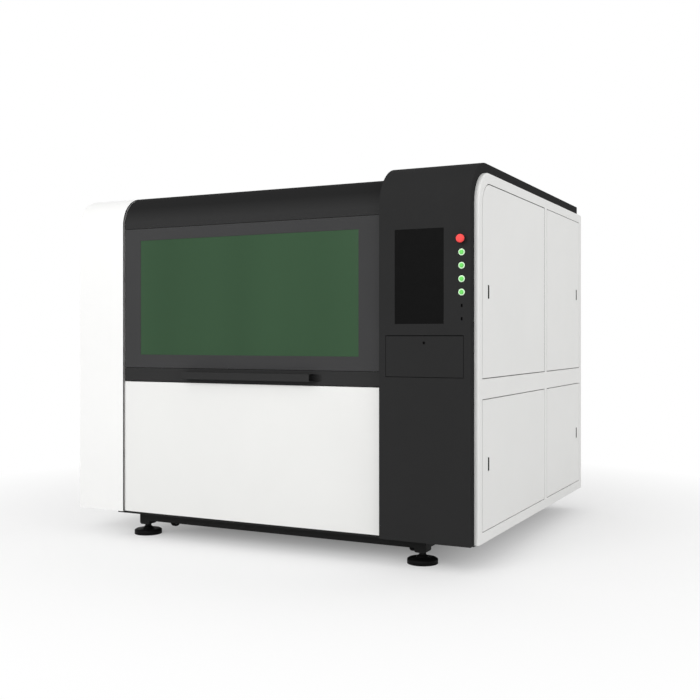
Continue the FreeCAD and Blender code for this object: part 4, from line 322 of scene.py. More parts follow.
# finish: how it is made, the colour setting it starts from, and its own numbers
FINISHES = {
    "white_coat": (powder_coat, "white", dict(roughness=0.42, gloss=0.4, drift=0.012)),
    # painted light: a brighter copy of the white coat on the left casing
    "casing_coat": (powder_coat, "casing", dict(roughness=0.42, gloss=0.4, drift=0.01)),
    "charcoal_coat": (powder_coat, "charcoal", dict(roughness=0.8, gloss=0.012)),
    # painted shade: the hood's charcoal is lighter low down and darker over its crest, standing for how the light
    # falls on it
    "hood_coat": (shade_graded_coat, "charcoal", dict(axis="Z", start=HOOD_TOP - 0.152, end=HOOD_TOP - 0.080,
                                                tones=(1.28, 0.72), roughness=0.8, gloss=0.012)),
    "band_coat": (powder_coat, "band", dict(roughness=0.8, gloss=0.012)),
    "window_coat": (powder_coat, "window", dict(roughness=0.7)),
    "black_coat": (powder_coat, "black", dict(gloss=0.06)),
    "foot_coat": (powder_coat, "foot", dict(gloss=0.06)),
    "inner_coat": (powder_coat, "inner", dict(gloss=0.35)),
    "case_coat": (powder_coat, "case", dict(roughness=0.4, gloss=0.35, drift=0.015)),
    "tinted_pane": (laser_glass, "glass", {}),
    "screen_matt": (moulded, "screen", dict(roughness=0.5, gloss=0.03)),
    "black_rubber": (moulded, "rubber", dict(roughness=0.7, gloss=0.05)),
    "window_rubber": (moulded, "window", dict(roughness=0.7, gloss=0.05)),
    # painted shadow: near black at the grip's tip, fading into charcoal along the rubber end that runs out on the
    # band
    "handle_rubber": (shade_graded_coat, "rubber", dict(axis="X", start=HANDLE_TIP + 0.008, end=HANDLE_TIP + 0.050,
                                                  tones=(0.05, 1.0))),
    "matt_black": (moulded, "plastic", dict(roughness=0.7, gloss=0.0)),
    "black_plastic": (moulded, "plastic", dict(roughness=0.42)),
    "ring_green": (moulded, "ring", dict(roughness=0.35)),
    "lens_green": (moulded, "button", dict(roughness=0.4, gloss=0.15)),
    "red_plastic": (moulded, "stop", dict(roughness=0.5, gloss=0.15)),
    "grey_plastic": (moulded, "grey", {}),
    "blue_plastic": (moulded, "blue", {}),
    "white_ceramic": (moulded, "ceramic", dict(roughness=0.3, gloss=0.4)),
    "turned_steel": (bare_metal, "steel", dict(roughness=0.25, along=(60.0, 60.0, 900.0), stain=0.06)),
    "rail_steel": (bare_metal, "steel", dict(roughness=0.22, along=(500.0, 3.0, 500.0), stain=0.05)),
    "dark_steel": (bare_metal, "dark_steel", dict(roughness=0.45, along=(200.0, 200.0, 200.0))),
    "black_oxide": (bare_metal, "black", dict(roughness=0.5, along=(200.0, 200.0, 200.0))),
    "scorched_slats": (scorched_steel, "steel", {}),
    "brushed_aluminium": (bare_metal, "aluminium", dict(roughness=0.38, along=(4.0, 400.0, 400.0))),
    "nozzle_copper": (bare_metal, "copper", dict(roughness=0.25, along=(60.0, 60.0, 900.0))),
}


def finish(name):
    """The named material, made on its first use."""
    if name not in bpy.data.materials:
        make, colour, numbers = FINISHES[name]
        settings = bpy.context.scene.laser_machine
        group = settings.coat if hasattr(settings.coat, colour) else settings.fitting
        make(name, getattr(group, colour), **numbers)
    return bpy.data.materials[name]


def paint(table):
    """Puts each finish of a table on all slots of its CAD nodes."""
    for name, nodes in table.items():
        for node in nodes:
            for slot in frame["nodes"][node].material_slots:
                slot.material = finish(name)


# --- surfaces
def mm(*values):
    """Array of the given numbers or points, from millimetres to metres."""
    return np.array(values, float) / 1000


def node_box(node):
    """Lowest corner, highest corner and middle of a CAD node at rest."""
    low, high = (np.array(corner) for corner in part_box(node))
    return low, high, (low + high) / 2


def placed(rows, name):
    """Place of the joint or the mount of that name."""
    return np.array(next(row["pos_m"] for row in rows if row["name"] == name))


def side_axes(outward):
    """Axes of a face that looks outward: width, height and outward; height is up, or +Y on a level face."""
    outward = np.array(outward, float)
    height = np.array((0.0, 1.0, 0.0) if abs(outward[2]) > 0.5 else (0.0, 0.0, 1.0))
    return np.cross(height, outward), height, outward


def standing(shape, places):
    """Copy of a shape at each place."""
    return np.reshape(places, (-1, 1, 1, 3)) + shape


def turned(profile, places, outward=TOP, steps=24):
    """Profile of (radius, rise) turned about an axis at each place.

    Point = place + radius * (cos angle * width + sin angle * height) + rise * outward.
    """
    width, height, outward = side_axes(outward)
    radius, rise = np.array(profile, float).T
    angle = np.linspace(0.0, math.tau, steps + 1)
    ring = np.cos(angle)[:, None] * width + np.sin(angle)[:, None] * height
    shape = radius[:, None, None] * ring + rise[:, None, None] * outward
    return standing(shape, places)


def rounded(width, height, radius, steps=4):
    """Rounded rectangle as corner centres, outward directions and reach: its edge is centre + reach * direction."""
    angle = (np.arange(4)[:, None] + np.linspace(0.0, 1.0, steps + 1)) * math.pi / 2
    sign = np.repeat(((1, 1), (-1, 1), (-1, -1), (1, -1)), steps + 1, axis=0)
    direction = np.stack((np.cos(angle), np.sin(angle)), axis=-1).reshape(-1, 2)
    centre = sign * (width / 2 - radius, height / 2 - radius)
    return np.vstack((centre, centre[:1])), np.vstack((direction, direction[:1])), radius


def hexagon(flats):
    """Six-sided outline of that width across its flats, in the form that rounded() gives."""
    angle = np.arange(7) * math.pi / 3
    return np.zeros((7, 2)), np.stack((np.cos(angle), np.sin(angle)), axis=-1), flats / math.sqrt(3)


def raised(outline, section, places, outward, capped=True):
    """Outline carried through a section of (growth, rise), at each place.

    Point = place + centre + (reach + growth) * direction in the face, + rise * outward. Where the reach is used up,
    the corner centres themselves move in. A capped shape is closed on its middle at both ends of the section;
    otherwise the section is itself a closed loop.
    """
    centre, direction, reach = outline
    width, height, outward = side_axes(outward)
    growth, rise = np.array(section, float).T
    grown = (reach + growth)[:, None, None]
    flat = centre + np.maximum(grown, 0.0) * direction + np.minimum(grown, 0.0) * np.sign(centre)
    shape = flat[..., :1] * width + flat[..., 1:] * height + rise[:, None, None] * outward
    if capped:
        middle = np.ones((1, len(centre), 1)) * outward
        shape = np.concatenate((rise[0] * middle, shape, rise[-1] * middle))
    return standing(shape, places)


def slabs(size, places, outward, edge=1 * MM, steps=2):
    """Soft-edged blocks of (width, height, rise), each standing on its place: a rounded outline, bevelled above."""
    width, height, rise = size
    section = ((0, 0), (0, rise - edge), (-edge, rise))
    return raised(rounded(width, height, edge, steps), section, places, outward)


def tube(path, radius, normal, sides=10):
    """Round bar along a flat path, closed at both ends.

    Point = path point + radius * (cos angle * normal + sin angle * normal x tangent).
    """
    path = np.array(path, float)
    tangent = np.gradient(path, axis=0)
    side = np.cross(normal, tangent / np.linalg.norm(tangent, axis=1, keepdims=True))
    angle = np.linspace(0.0, math.tau, sides + 1)[None, :, None]
    rings = path[:, None] + radius * (np.cos(angle) * np.array(normal, float) + np.sin(angle) * side[:, None])
    ends = np.ones((1, sides + 1, 1))
    return np.concatenate((path[0] * ends, rings, path[-1] * ends))


def thread(radius, depth, pitch, length, places, sides=18, cuts=4):
    """Screw thread along Z, closed at both ends.

    Point = place + r * (cos angle, sin angle) + height, where r = radius - depth * |2 * fraction - 1| and fraction is
    the part of a turn left in height / pitch - angle / whole turn.
    """
    angle = np.linspace(0.0, math.tau, sides + 1)
    height = np.linspace(0.0, length, int(length / pitch * cuts) + 1)[:, None]
    fraction = np.mod(height / pitch - angle / math.tau, 1.0)
    r = radius - depth * np.abs(2.0 * fraction - 1.0)
    r = np.concatenate((r[:1] * 0, r, r[-1:] * 0))
    height = np.concatenate((height[:1], height, height[-1:])) + angle * 0
    shape = np.stack((r * np.cos(angle), r * np.sin(angle), height), axis=-1)
    return standing(shape, places)


def lattice(*axes):
    """Every place whose X, Y and Z are taken from the three lists."""
    return np.stack(np.meshgrid(*axes, indexing="ij"), axis=-1).reshape(-1, 3)


def edge_places(width, height, spacing, middle, outward):
    """Places along the sides of a rectangle in a face, near that spacing, with one at each corner."""
    across, up, _ = side_axes(outward)
    w, h = (np.linspace(-0.5, 0.5, max(1, round(side / spacing)) + 1)[:-1] for side in (width, height))
    flat = np.vstack((np.stack((w * width, 0 * w - height / 2), 1), np.stack((0 * h + width / 2, h * height), 1),
                      np.stack((-w * width, 0 * w + height / 2), 1), np.stack((0 * h - width / 2, -h * height), 1)))
    return np.array(middle) + flat[:, :1] * across + flat[:, 1:] * up


def screws(places, outward, radius=4 * MM):
    """Low round screw heads with a recess: a profile of seven points turned in ten steps."""
    profile = np.array(((0, 0), (1, 0), (0.96, 0.3), (0.7, 0.5), (0.45, 0.55), (0.4, 0.2), (0, 0.2))) * radius
    return turned(profile, places, outward, steps=10)


def put(name, data):
    """New object with that data, in the scene."""
    made = bpy.data.objects.new(name, data)
    bpy.context.scene.collection.objects.link(made)
    return made


def piece(name, body, slot, coat, *grids, replaces=(), sharp=35.0):
    """One new piece: its grids joined, their doubles merged, and their faces turned outwards."""
    points, faces, count = [], [], 0
    for grid in grids:
        grid = np.reshape(grid, (-1, *np.shape(grid)[-3:]))
        number = count + np.arange(grid[..., 0].size).reshape(grid.shape[:3])
        faces.append(np.stack((number[:, :-1, :-1], number[:, 1:, :-1], number[:, 1:, 1:], number[:, :-1, 1:]),
                              axis=-1).reshape(-1, 4))
        points.append(grid.reshape(-1, 3))
        count += number.size
    mesh = bpy.data.meshes.new(name)
    mesh.from_pydata(np.concatenate(points).tolist(), [], np.concatenate(faces).tolist())
    shell = bmesh.new()
    shell.from_mesh(mesh)
    bmesh.ops.remove_doubles(shell, verts=shell.verts, dist=MERGE)
    bmesh.ops.recalc_face_normals(shell, faces=shell.faces)
    shell.to_mesh(mesh)
    shell.free()
    mesh.shade_smooth()
    mesh.set_sharp_from_angle(angle=math.radians(sharp))
    mesh.materials.append(finish(coat))
    made = put(name, mesh)
    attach(made, body)
    if replaces:
        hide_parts(*replaces)
    return made


def maker(body, slot):
    """Builder of the pieces that share a body and a slot; the slot is not used."""
    return lambda name, coat, *grids, **rest: piece(name, body, slot, coat, *grids, **rest)


# --- stage
def studio_surface(tree, seen, lit):
    """Mixes two shaders: seen for camera, mirror and see-through rays, lit for the light that falls on things."""
    rays = add_node(tree, "LightPath").outputs
    share = maths(tree, "MAXIMUM", rays["Is Camera Ray"], rays["Is Glossy Ray"])
    share = maths(tree, "MAXIMUM", share, rays["Is Transmission Ray"])
    return add_node(tree, "MixShader", {0: share, 1: lit, 2: seen}).outputs[0]


def lay_floor(studio):
    """Square floor under the machine, for the picture alone."""
    half = studio.floor_side / 2
    mesh = bpy.data.meshes.new("floor")
    mesh.from_pydata([(-half, -half, 0), (half, -half, 0), (half, half, 0), (-half, half, 0)], [], [(0, 1, 2, 3)])
    mesh.materials.append(floor_material(studio))
    floor = put("floor", mesh)


def floor_material(studio):
    """Pale floor: a painted shadow makes it darker for the camera deep under the machine, and it is white from a
    distance.
    """
    material = bpy.data.materials.new("studio_floor")
    tree = empty_tree(material)
    lit, shown = (add_node(tree, "BsdfDiffuse", {"Color": rgba(colour)}).outputs[0]
                  for colour in (studio.floor_colour, studio.floor_seen))
    place = add_node(tree, "TexCoord").outputs["Object"]
    low, high = (Vector(corner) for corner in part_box("base_pan"))
    offset = maths(tree, "SUBTRACT", place, (low + high) / 2, "VectorMath")
    offset = maths(tree, "ABSOLUTE", offset, (0, 0, 0), "VectorMath")
    beyond = maths(tree, "SUBTRACT", offset, (high - low) / 2, "VectorMath")
    beyond = maths(tree, "MAXIMUM", axis_of(tree, beyond, "X"), axis_of(tree, beyond, "Y"))
    # painted shadow under the machine: the camera's lift falls from the floor lift at the base's outline to the lower
    # lift deep inside it
    strength = spread(tree, beyond, studio.shadow_lift_below, studio.floor_lift, -studio.shadow_depth_below, 0.0)
    lift, white = (add_node(tree, "Emission", {"Strength": light}).outputs[0] for light in (strength, 1.0))
    near = add_node(tree, "AddShader", {0: shown, 1: lift}).outputs[0]
    distance = add_node(tree, "VectorMath", {0: place}, operation="LENGTH").outputs["Value"]
    fade = spread(tree, distance, 0.0, 1.0, studio.fade_start, studio.fade_end)
    seen = add_node(tree, "MixShader", {0: fade, 1: near, 2: white}).outputs[0]
    add_node(tree, "OutputMaterial", {"Surface": studio_surface(tree, seen, lit)})
    return material


def light_studio(context, studio):
    """Daylight all round, white where it is seen, and two square lamps aimed at the machine's middle."""
    world = context.scene.world = bpy.data.worlds.new("studio_daylight")
    tree = empty_tree(world)
    height = axis_of(tree, add_node(tree, "TexCoord").outputs["Generated"], "Z")
    overhead = spread(tree, height, studio.daylight, studio.zenith, 0.0, 1.0)
    seen, lit = (add_node(tree, "Background", {"Color": (1, 1, 1, 1), "Strength": strength}).outputs[0]
                 for strength in (1.0, overhead))
    add_node(tree, "OutputWorld", {"Surface": studio_surface(tree, seen, lit)})
    aim = Vector(cad_box[0]).lerp(Vector(cad_box[1]), 0.5)
    for name, place, power in (("key_lamp", studio.key_place, studio.key_power),
                               ("fill_lamp", studio.fill_place, studio.fill_power)):
        lamp = bpy.data.lights.new(name, "AREA")
        lamp.shape, lamp.size, lamp.energy = "SQUARE", studio.lamp_side, power
        stand = put(name, lamp)
        stand.location = place
        stand.rotation_euler = (aim - Vector(place)).to_track_quat("-Z", "Y").to_euler()


def place_camera(context, studio):
    """Level camera with a shifted picture."""
    data = bpy.data.cameras.new("camera")
    data.lens, data.sensor_width = studio.lens, 36.0
    data.shift_y = studio.picture_rise
    data.clip_start, data.clip_end = 0.05, 200.0
    camera = put("camera", data)
    camera.location = studio.camera_place
    camera.rotation_euler = (math.pi / 2, 0.0, studio.camera_turn)
    context.scene.camera = camera


class LASERMACHINE_OT_set_studio(bpy.types.Operator):
    """Lays the pale floor, lights the studio and places the camera"""

    bl_idname = "laser_machine.set_studio"
    bl_label = "Set the studio"

    def execute(self, context):
        studio = context.scene.laser_machine.studio
        lay_floor(studio)
        light_studio(context, studio)
        place_camera(context, studio)
        context.scene.view_settings.view_transform = "Standard"
        return {"FINISHED"}


# --- finishes of the CAD nodes
SHEET_METAL = {
    "white_coat": ("rear_panel", "front_lower_panel", "right_side_frame", "roof_panel",
                   *(f"door_{name}" for name in SIDE_DOORS)),
    "casing_coat": ("left_end_cover", "left_side_panel"),
    "charcoal_coat": ("column_cover", "keyboard_flap"),
    "hood_coat": ("hood_shell",),
    "band_coat": ("door_band", "door_handle"),
    "window_coat": ("window_panel",),
    "black_coat": ("base_frame", "base_pan", "hood_hinges", "keyboard_box"),
    "inner_coat": ("partition", "machine_bed", "slat_frame", "scrap_drawer", "fan_housing", "electrical_panel"),
    "case_coat": ("laser_source", "chiller"),
}
# a node that a new piece stands for has its finish here as well
FITTINGS = {
    "tinted_pane": ("window_glass",),
    "screen_matt": ("touch_monitor",),
    "matt_black": ("flap_lock", *(f"latch_{name}" for name in SIDE_DOORS)),
    "black_plastic": ("strut_cylinder_left", "strut_cylinder_right", "x_carriage", "keyboard"),
    "turned_steel": ("strut_rod_left", "strut_rod_right", "side_door_pivots", "caster_fork_front_left",
                     "caster_fork_front_right"),
    "rail_steel": ("y_guides",),
    "scorched_slats": ("slats",),
    "brushed_aluminium": ("gantry_beam", "fan_rotor"),
    "white_ceramic": ("cutting_head",),
    "ring_green": ("panel_fittings",),
    "lens_green": [f"push_button_{number}" for number in (1, 2, 3, 4)],
    "red_plastic": ("emergency_stop",),
    "foot_coat": ("levelling_feet",),
    "black_rubber": [f"caster_wheel_{corner}" for corner in CASTERS],
}


class LASERMACHINE_OT_coat_sheet_metal(bpy.types.Operator):
    """Coats the casing, the doors, the column, the hood and the base"""

    bl_idname = "laser_machine.coat_sheet_metal"
    bl_label = "Coat the sheet metal"

    def execute(self, context):
        paint(SHEET_METAL)
        return {"FINISHED"}


class LASERMACHINE_OT_finish_fittings(bpy.types.Operator):
    """Gives glass, plastics and bare metals their finishes"""

    bl_idname = "laser_machine.finish_fittings"
    bl_label = "Finish the fittings"

    def execute(self, context):
        paint(FITTINGS)
        return {"FINISHED"}


# --- front door and casing seam
def fit_window():
    """Rubber bead in the corner before the glass, and a stepped frame with screws that clamps it from behind."""
    build = maker("front_door", "window_charcoal")
    low, high, middle = node_box("window_glass")
    lap, corner = mm(14, 4)
    width, height = high[0] - low[0] - 2 * lap, high[2] - low[2] - 2 * lap
    hole = rounded(width, height, corner)
    front, back = ((middle[0], y, middle[2]) for y in (low[1], high[1]))
    bead = mm((0, 0.05), (0, 1.8), (-1.2, 1.9), (-2.8, 1.3), (-3.5, 0.05), (0, 0.05))
    build("window_gasket", "window_rubber", raised(hole, bead, front, FRONT, capped=False))
    step = mm((-4, 0), (-4, 2), (16, 2), (16, -4), (28, -4), (28, -5.9), (14.2, -5.9), (14.2, 0), (-4, 0))
    build("window_clamp", "black_coat", raised(hole, step, back, REAR, capped=False))
    outside, spacing = mm(44, 180)
    places = edge_places(width + outside, height + outside, spacing, back, REAR) - (0, 4 * MM, 0)
    build("window_clamp_screws", "dark_steel", screws(places, REAR))


def end_handle_and_shadow():
    """Rubber end of the grip, which runs out flat on the band; its colour, near black at the grip and fading into
    charcoal along the band, is a painted shadow beyond the grip's end.

    Point = (x, band - depth * sin(a) ** flat, middle + tall / 2 * cos(a)). As s goes from 0 at the grip to 1 at its
    tip, depth falls with (early - early * s) ** taper, capped at 1, and tall falls with 1 - narrowing * s ** 2.
    """
    flat, early, taper, narrowing = 0.3, 1.15, 1.6, 0.3
    low, high, middle = node_box("door_handle")
    length, inset = mm(48, 1.5)
    s = np.linspace(0.0, 1.0, 17)[:, None]
    a = np.linspace(0.0, math.pi, 25)[None, :]
    depth = (high[1] - low[1] - inset) * np.clip(early - early * s, 0.0, 1.0) ** taper + MERGE
    tall = (high[2] - low[2] - 2 * inset) * (1.0 - narrowing * s ** 2)
    shape = np.stack((high[0] + length * s + 0 * a,
                      high[1] - depth * np.maximum(np.sin(a), 0.0) ** flat,
                      middle[2] + tall / 2 * np.cos(a)), axis=-1)
    shape = np.concatenate((shape, shape[:, :1]), axis=1)
    near, far = ((shape[end].mean(axis=0) * np.ones_like(shape[0]))[None] for end in (0, -1))
    piece("handle_end", "front_door", "handle_black", "handle_rubber", np.concatenate((near, shape, far)), sharp=50)


def screw_hinges():
    """Three screws on each hinge leaf: the moving leaves ride with the door, the fixed ones with the roof."""
    low, high, _ = node_box("hood_hinges")
    half_leaf, from_end, barrel, spacing, leaf = mm(60, 19, 6, 42, 3)
    axis_y = low[1] + barrel
    fixed_y = high[1] - from_end
    xs = (np.linspace(low[0] + half_leaf, high[0] - half_leaf, 3)[:, None] + (-spacing, 0.0, spacing)).ravel()
    top = [low[2] + leaf]
    piece("fixed_leaf_screws", "cabinet", "zinc_steel", "dark_steel", screws(lattice(xs, [fixed_y], top), TOP))
    piece("moving_leaf_screws", "front_door", "zinc_steel", "dark_steel",
          screws(lattice(xs, [2 * axis_y - fixed_y], top), TOP))


def seal_seam():
    """Rubber cord in the seam between the casing and the hood: up the front, round the quarter and back."""
    casing_low, casing_high, _ = node_box("left_end_cover")
    hood_low, hood_high, _ = node_box("hood_shell")
    depth, radius, corner, lift, seam = mm(1.9, 1.8, 150, 4, 2)
    x = hood_low[0] - seam
    centre = np.array((casing_low[1] + corner, casing_high[2] - corner))
    angle = np.linspace(math.pi, math.pi / 2, 33)[:, None]
    arc = centre + (corner - depth) * np.hstack((np.cos(angle), np.sin(angle)))
    start = (casing_low[1] + depth, casing_low[2] + lift)
    end = (hood_high[1] - lift, casing_high[2] - depth)
    flat = np.vstack((start, arc, end))
    path = np.column_stack((np.full(len(flat), x), flat))
    piece("casing_seal", "cabinet", "case_white", "matt_black", tube(path, radius, RIGHT, sides=8))


class LASERMACHINE_OT_trim_front_door(bpy.types.Operator):
    """Seals and clamps the window, closes the handle's end with a painted shadow beyond it, screws the hinges on and
    seals the casing's seam
    """

    bl_idname = "laser_machine.trim_front_door"
    bl_label = "Trim the front door"

    def execute(self, context):
        fit_window()
        end_handle_and_shadow()
        screw_hinges()
        seal_seam()
        return {"FINISHED"}


# --- control column
def cover_places(*nodes):
    """Points on the column's front face straight before those nodes."""
    face = node_box("column_cover")[0][1]
    return np.array([(node_box(node)[2][0], face, node_box(node)[2][2]) for node in nodes])


def fit_screen():
    """Matt glass over the monitor's face, level with the cover."""
    low, high, middle = node_box("touch_monitor")
    margin, gap, corner = mm(40, 1.4, 2)
    outline = rounded(high[0] - low[0] - margin - gap, high[2] - low[2] - margin - gap, corner)
    section = mm((0, -0.3), (0, 0.25), (-0.25, 0.45))
    piece("screen_glass", "cabinet", "screen_black", "screen_matt",
          raised(outline, section, (middle[0], low[1], middle[2]), FRONT))


def fit_buttons():
    """Domed lenses in bevelled rings, with their contact blocks behind the cover."""
    build = maker("cabinet", "fitting_green")
    names = [f"push_button_{number}" for number in (1, 2, 3, 4)]
    places = cover_places(*names)
    lens = mm((0, -12), (9, -12), (9, 6.4), (8.6, 7.2), (7.6, 7.6), (4, 7.9), (0, 8))
    for number, (name, place) in enumerate(zip(names, places), 1):
        piece(f"button_lens_{number}", f"button_{number}", "button_green", "lens_green",
              turned(lens, place, FRONT), replaces=(name,))
    ring = mm((9.2, 0), (9.2, 2.4), (9.8, 3), (13.4, 3), (14.2, 2.5), (14.5, 1.6), (14.5, 0), (9.2, 0))
    build("button_rings", "ring_green", turned(ring, places, FRONT, steps=36), replaces=("panel_fittings",))
    all_places = np.vstack((places, cover_places("emergency_stop")))
    sleeve = mm((9.1, 0), (10.9, 0), (10.9, -16), (9.1, -16), (9.1, 0))
    nut = mm((-1.6, -2), (0, -2.8), (0, -6), (-5, -6), (-5, -2), (-1.6, -2))
    block = mm((0, -16), (0, -41), (-1, -42))
    build("contact_blocks", "black_plastic", turned(sleeve, all_places, FRONT),
          raised(hexagon(30 * MM), nut, all_places, FRONT, capped=False),
          raised(rounded(*mm(28, 34, 2)), block, all_places, FRONT))


def fit_stop_button():
    """Mushroom head with a soft edge on its stem, in a dark ring."""
    place = cover_places("emergency_stop")
    head = mm((0, -9.5), (8, -9.5), (8, 13.8), (14.3, 14), (16.8, 14.8), (18.1, 16.6), (18.5, 19), (18.3, 22),
              (17.4, 25), (15.6, 27.3), (12.4, 28.8), (7.4, 29.7), (0, 30))
    piece("stop_head", "stop_button", "stop_red", "red_plastic", turned(head, place, FRONT, steps=48),
          replaces=("emergency_stop",), sharp=60)
    ring = mm((8.2, 0), (8.2, 2.5), (9, 3), (13.6, 3), (14.7, 2.3), (15, 1.2), (15, 0), (8.2, 0))
    piece("stop_ring", "cabinet", "fitting_green", "black_plastic", turned(ring, place, FRONT, steps=36))


def fit_sockets():
    """Open-fronted shells of the two data sockets, with a contact tongue in each."""
    above, button = cover_places("push_button_3", "push_button_4")
    places = button - lattice([0], [0], (above[2] - button[2]) * np.arange(1, 3))
    shell = mm((1, 0), (0.9, -15.5), (-3, -15.5), (-3, -14), (0, -14), (0, -0.3), (0.3, 0), (1, 0))
    tongue = mm((0, -14), (0, -3), (-0.3, -2.6))
    piece("socket_shells", "cabinet", "fitting_green", "matt_black",
          raised(rounded(*mm(6, 12, 0.6), steps=2), shell, places, FRONT, capped=False),
          raised(rounded(*mm(1.8, 8, 0.3), steps=2), tongue, places, FRONT))


def fit_keyboard():
    """Sealed keyboard body with dished keys, fixed to the flap's inner side."""
    build = maker("flap", "keys_grey")
    low, high, middle = node_box("keyboard")
    rise, edge, pitch = mm(3.5, 2, 19)
    body = mm((0, 0), (0, 12.5), (-1.5, 14))
    back = (middle[0], low[1], middle[2])
    build("keyboard_body", "black_plastic",
          raised(rounded(high[0] - low[0], high[2] - low[2], edge), body, back, REAR), replaces=("keyboard",))
    columns, rows = 15, 5
    xs = middle[0] + (np.arange(columns) - (columns - 1) / 2) * pitch
    zs = middle[2] + (np.arange(rows) - (rows - 1) / 2) * pitch
    cap = mm((0, -0.5), (0, 1.4), (-1.2, 3.3), (-2.4, 3.4), (-4.5, 3.1))
    build("keyboard_keys", "grey_plastic",
          raised(rounded(*mm(15.5, 15.5, 1.5), steps=1), cap, lattice(xs, [high[1] - rise], zs), REAR))


def fit_flap_lock():
    """Coated ring round the lock's barrel."""
    x, _, z = placed(frame["joints"], "lock_turn")
    face = node_box("keyboard_flap")[0][1]
    ring = mm((6.2, 0), (6.2, 0.35), (6.6, 0.6), (7.6, 0.6), (8, 0.3), (8, 0), (6.2, 0))
    piece("lock_ring", "flap", "lock_steel", "charcoal_coat", turned(ring, (x, face, z), FRONT))


class LASERMACHINE_OT_fit_controls(bpy.types.Operator):
    """Builds the screen's glass, the buttons with their rings, the data sockets, the keys and the flap's lock"""

    bl_idname = "laser_machine.fit_controls"
    bl_label = "Fit the controls"

    def execute(self, context):
        fit_screen()
        fit_buttons()
        fit_stop_button()
        fit_sockets()
        fit_keyboard()
        fit_flap_lock()
        return {"FINISHED"}


# --- feet and casters
def build_levellers():
    """Rubber pad, cast disc with its cone, threaded stud and chamfered lock nut at each corner."""
    build = maker("cabinet", "foot_black")
    low, high, _ = node_box("levelling_feet")
    reach, radius, depth, pitch, foot = mm(70, 10, 1.2, 3, 39)
    feet = lattice((low[0] + reach, high[0] - reach), (low[1] + reach, high[1] - reach), [low[2]])
    pad = mm((0, 0), (68.5, 0), (70, 1.2), (70, 5), (69, 6), (0, 6))
    build("foot_pads", "black_rubber", turned(pad, feet, steps=64), replaces=("levelling_feet",))
    disc = mm((0, 6), (67, 6), (69, 7.2), (70, 9), (70, 19.4), (68.8, 21.4), (62.6, 25.2), (58, 26), (33, 26.2),
              (30, 26.8), (28.4, 28.4), (26, 31.6), (20, 38), (17.6, 39.6), (15, 40), (0, 40))
    build("foot_discs", "foot_coat", turned(disc, feet, steps=64))
    build("foot_studs", "black_oxide", thread(radius, depth, pitch, high[2] - low[2] - foot, feet + (0, 0, foot)))
    nut = mm((-2.4, 40), (0, 41.4), (0, 49.6), (-2.4, 51))
    build("foot_nuts", "black_oxide", raised(hexagon(30 * MM), nut, feet, TOP))


def build_wheels():
    """Tyre with a crowned tread on a recessed hub for each wheel, and hexagon heads on each axle's ends."""
    tyre = mm((22, -11), (27, -12.6), (29.6, -12), (31.2, -9.4), (31.5, -5), (31.5, 5), (31.2, 9.4), (29.6, 12),
              (27, 12.6), (22, 11), (22, -11))
    hub = mm((5.2, -13), (9.6, -13), (10, -12.4), (10, -7.4), (12, -6.6), (19.4, -6.6), (21, -9), (22.4, -9),
             (22.4, 9), (21, 9), (19.4, 6.6), (12, 6.6), (10, 7.4), (10, 12.4), (9.6, 13), (5.2, 13), (5.2, -13))
    head = mm((0, 0), (0, 2.6), (-1, 3.4))
    flats, out = mm(13, 17.5)
    for corner, carrier in (("front_left", "caster_front_left"), ("rear_left", "cabinet"),
                            ("front_right", "caster_front_right"), ("rear_right", "cabinet")):
        middle = node_box(f"caster_wheel_{corner}")[2]
        piece(f"tyre_{corner}", f"wheel_{corner}", "wheel_black", "black_rubber",
              turned(tyre, middle, RIGHT, steps=48), replaces=(f"caster_wheel_{corner}",))
        piece(f"hub_{corner}", f"wheel_{corner}", "wheel_black", "grey_plastic", turned(hub, middle, RIGHT, steps=36))
        piece(f"axle_nuts_{corner}", carrier, "caster_zinc", "turned_steel",
              raised(hexagon(flats), head, middle - (out, 0, 0), LEFT),
              raised(hexagon(flats), head, middle + (out, 0, 0), RIGHT))


class LASERMACHINE_OT_build_feet(bpy.types.Operator):
    """Builds the levelling feet with their threads, and the caster wheels with tyres, hubs and axle nuts"""

    bl_idname = "laser_machine.build_feet"
    bl_label = "Build feet and casters"

    def execute(self, context):
        build_levellers()
        build_wheels()
        return {"FINISHED"}


# --- side doors, rear, roof and left side
def fit_latches():
    """Dished grip pad on each latch paddle, just under the door's face, with a key barrel in its dish."""
    pad = mm((0, -1.2), (0, 1.5), (-0.4, 1.8), (-1.8, 1.8), (-2.4, 1.2))
    barrel = mm((0, 1.1), (3.6, 1.1), (3.6, 1.5), (3, 1.8), (1.2, 1.8), (0.9, 1.4), (0, 1.4))
    down = 1 * MM
    for name in SIDE_DOORS:
        _, high, middle = node_box(f"latch_{name}")
        y, z = placed(frame["joints"], f"turn_latch_{name}")[1:]
        piece(f"latch_pad_{name}", f"latch_{name}", "latch_black", "matt_black",
              raised(rounded(*mm(18.4, 56, 2)), pad, (high[0], y, middle[2] - down), RIGHT),
              turned(barrel, (high[0], y, z), RIGHT, steps=24))


def line_service_door_shade():
    """Black lip in the gap along the upper front door's top and rear edges, fixed to the frame; it stands only in
    these two gaps and darkens them as painted shade.
    """
    low, high, middle = node_box("door_upper_front")
    corner, gap, wide, top_rise, rear_rise, inset = mm(90, 4, 1.8, 3.2, 2.1, 1.1)
    x = high[0] - inset
    top = (x, (low[1] + corner + high[1] + gap) / 2, high[2] + gap)
    rear = (x, high[1] + gap, middle[2])
    piece("service_door_lip", "cabinet", "case_white", "black_rubber",
          slabs((wide, high[1] + gap - low[1] - corner, top_rise), top, (0, 0, -1), edge=wide / 4),
          slabs((wide, high[2] - low[2] + 2 * gap, rear_rise), rear, FRONT, edge=wide / 4))


def rear_sheet():
    """Y of the outer face of the rear wall's 2 mm sheet, from which only the gland's boss stands out."""
    return node_box("rear_panel")[0][1] + 2 * MM


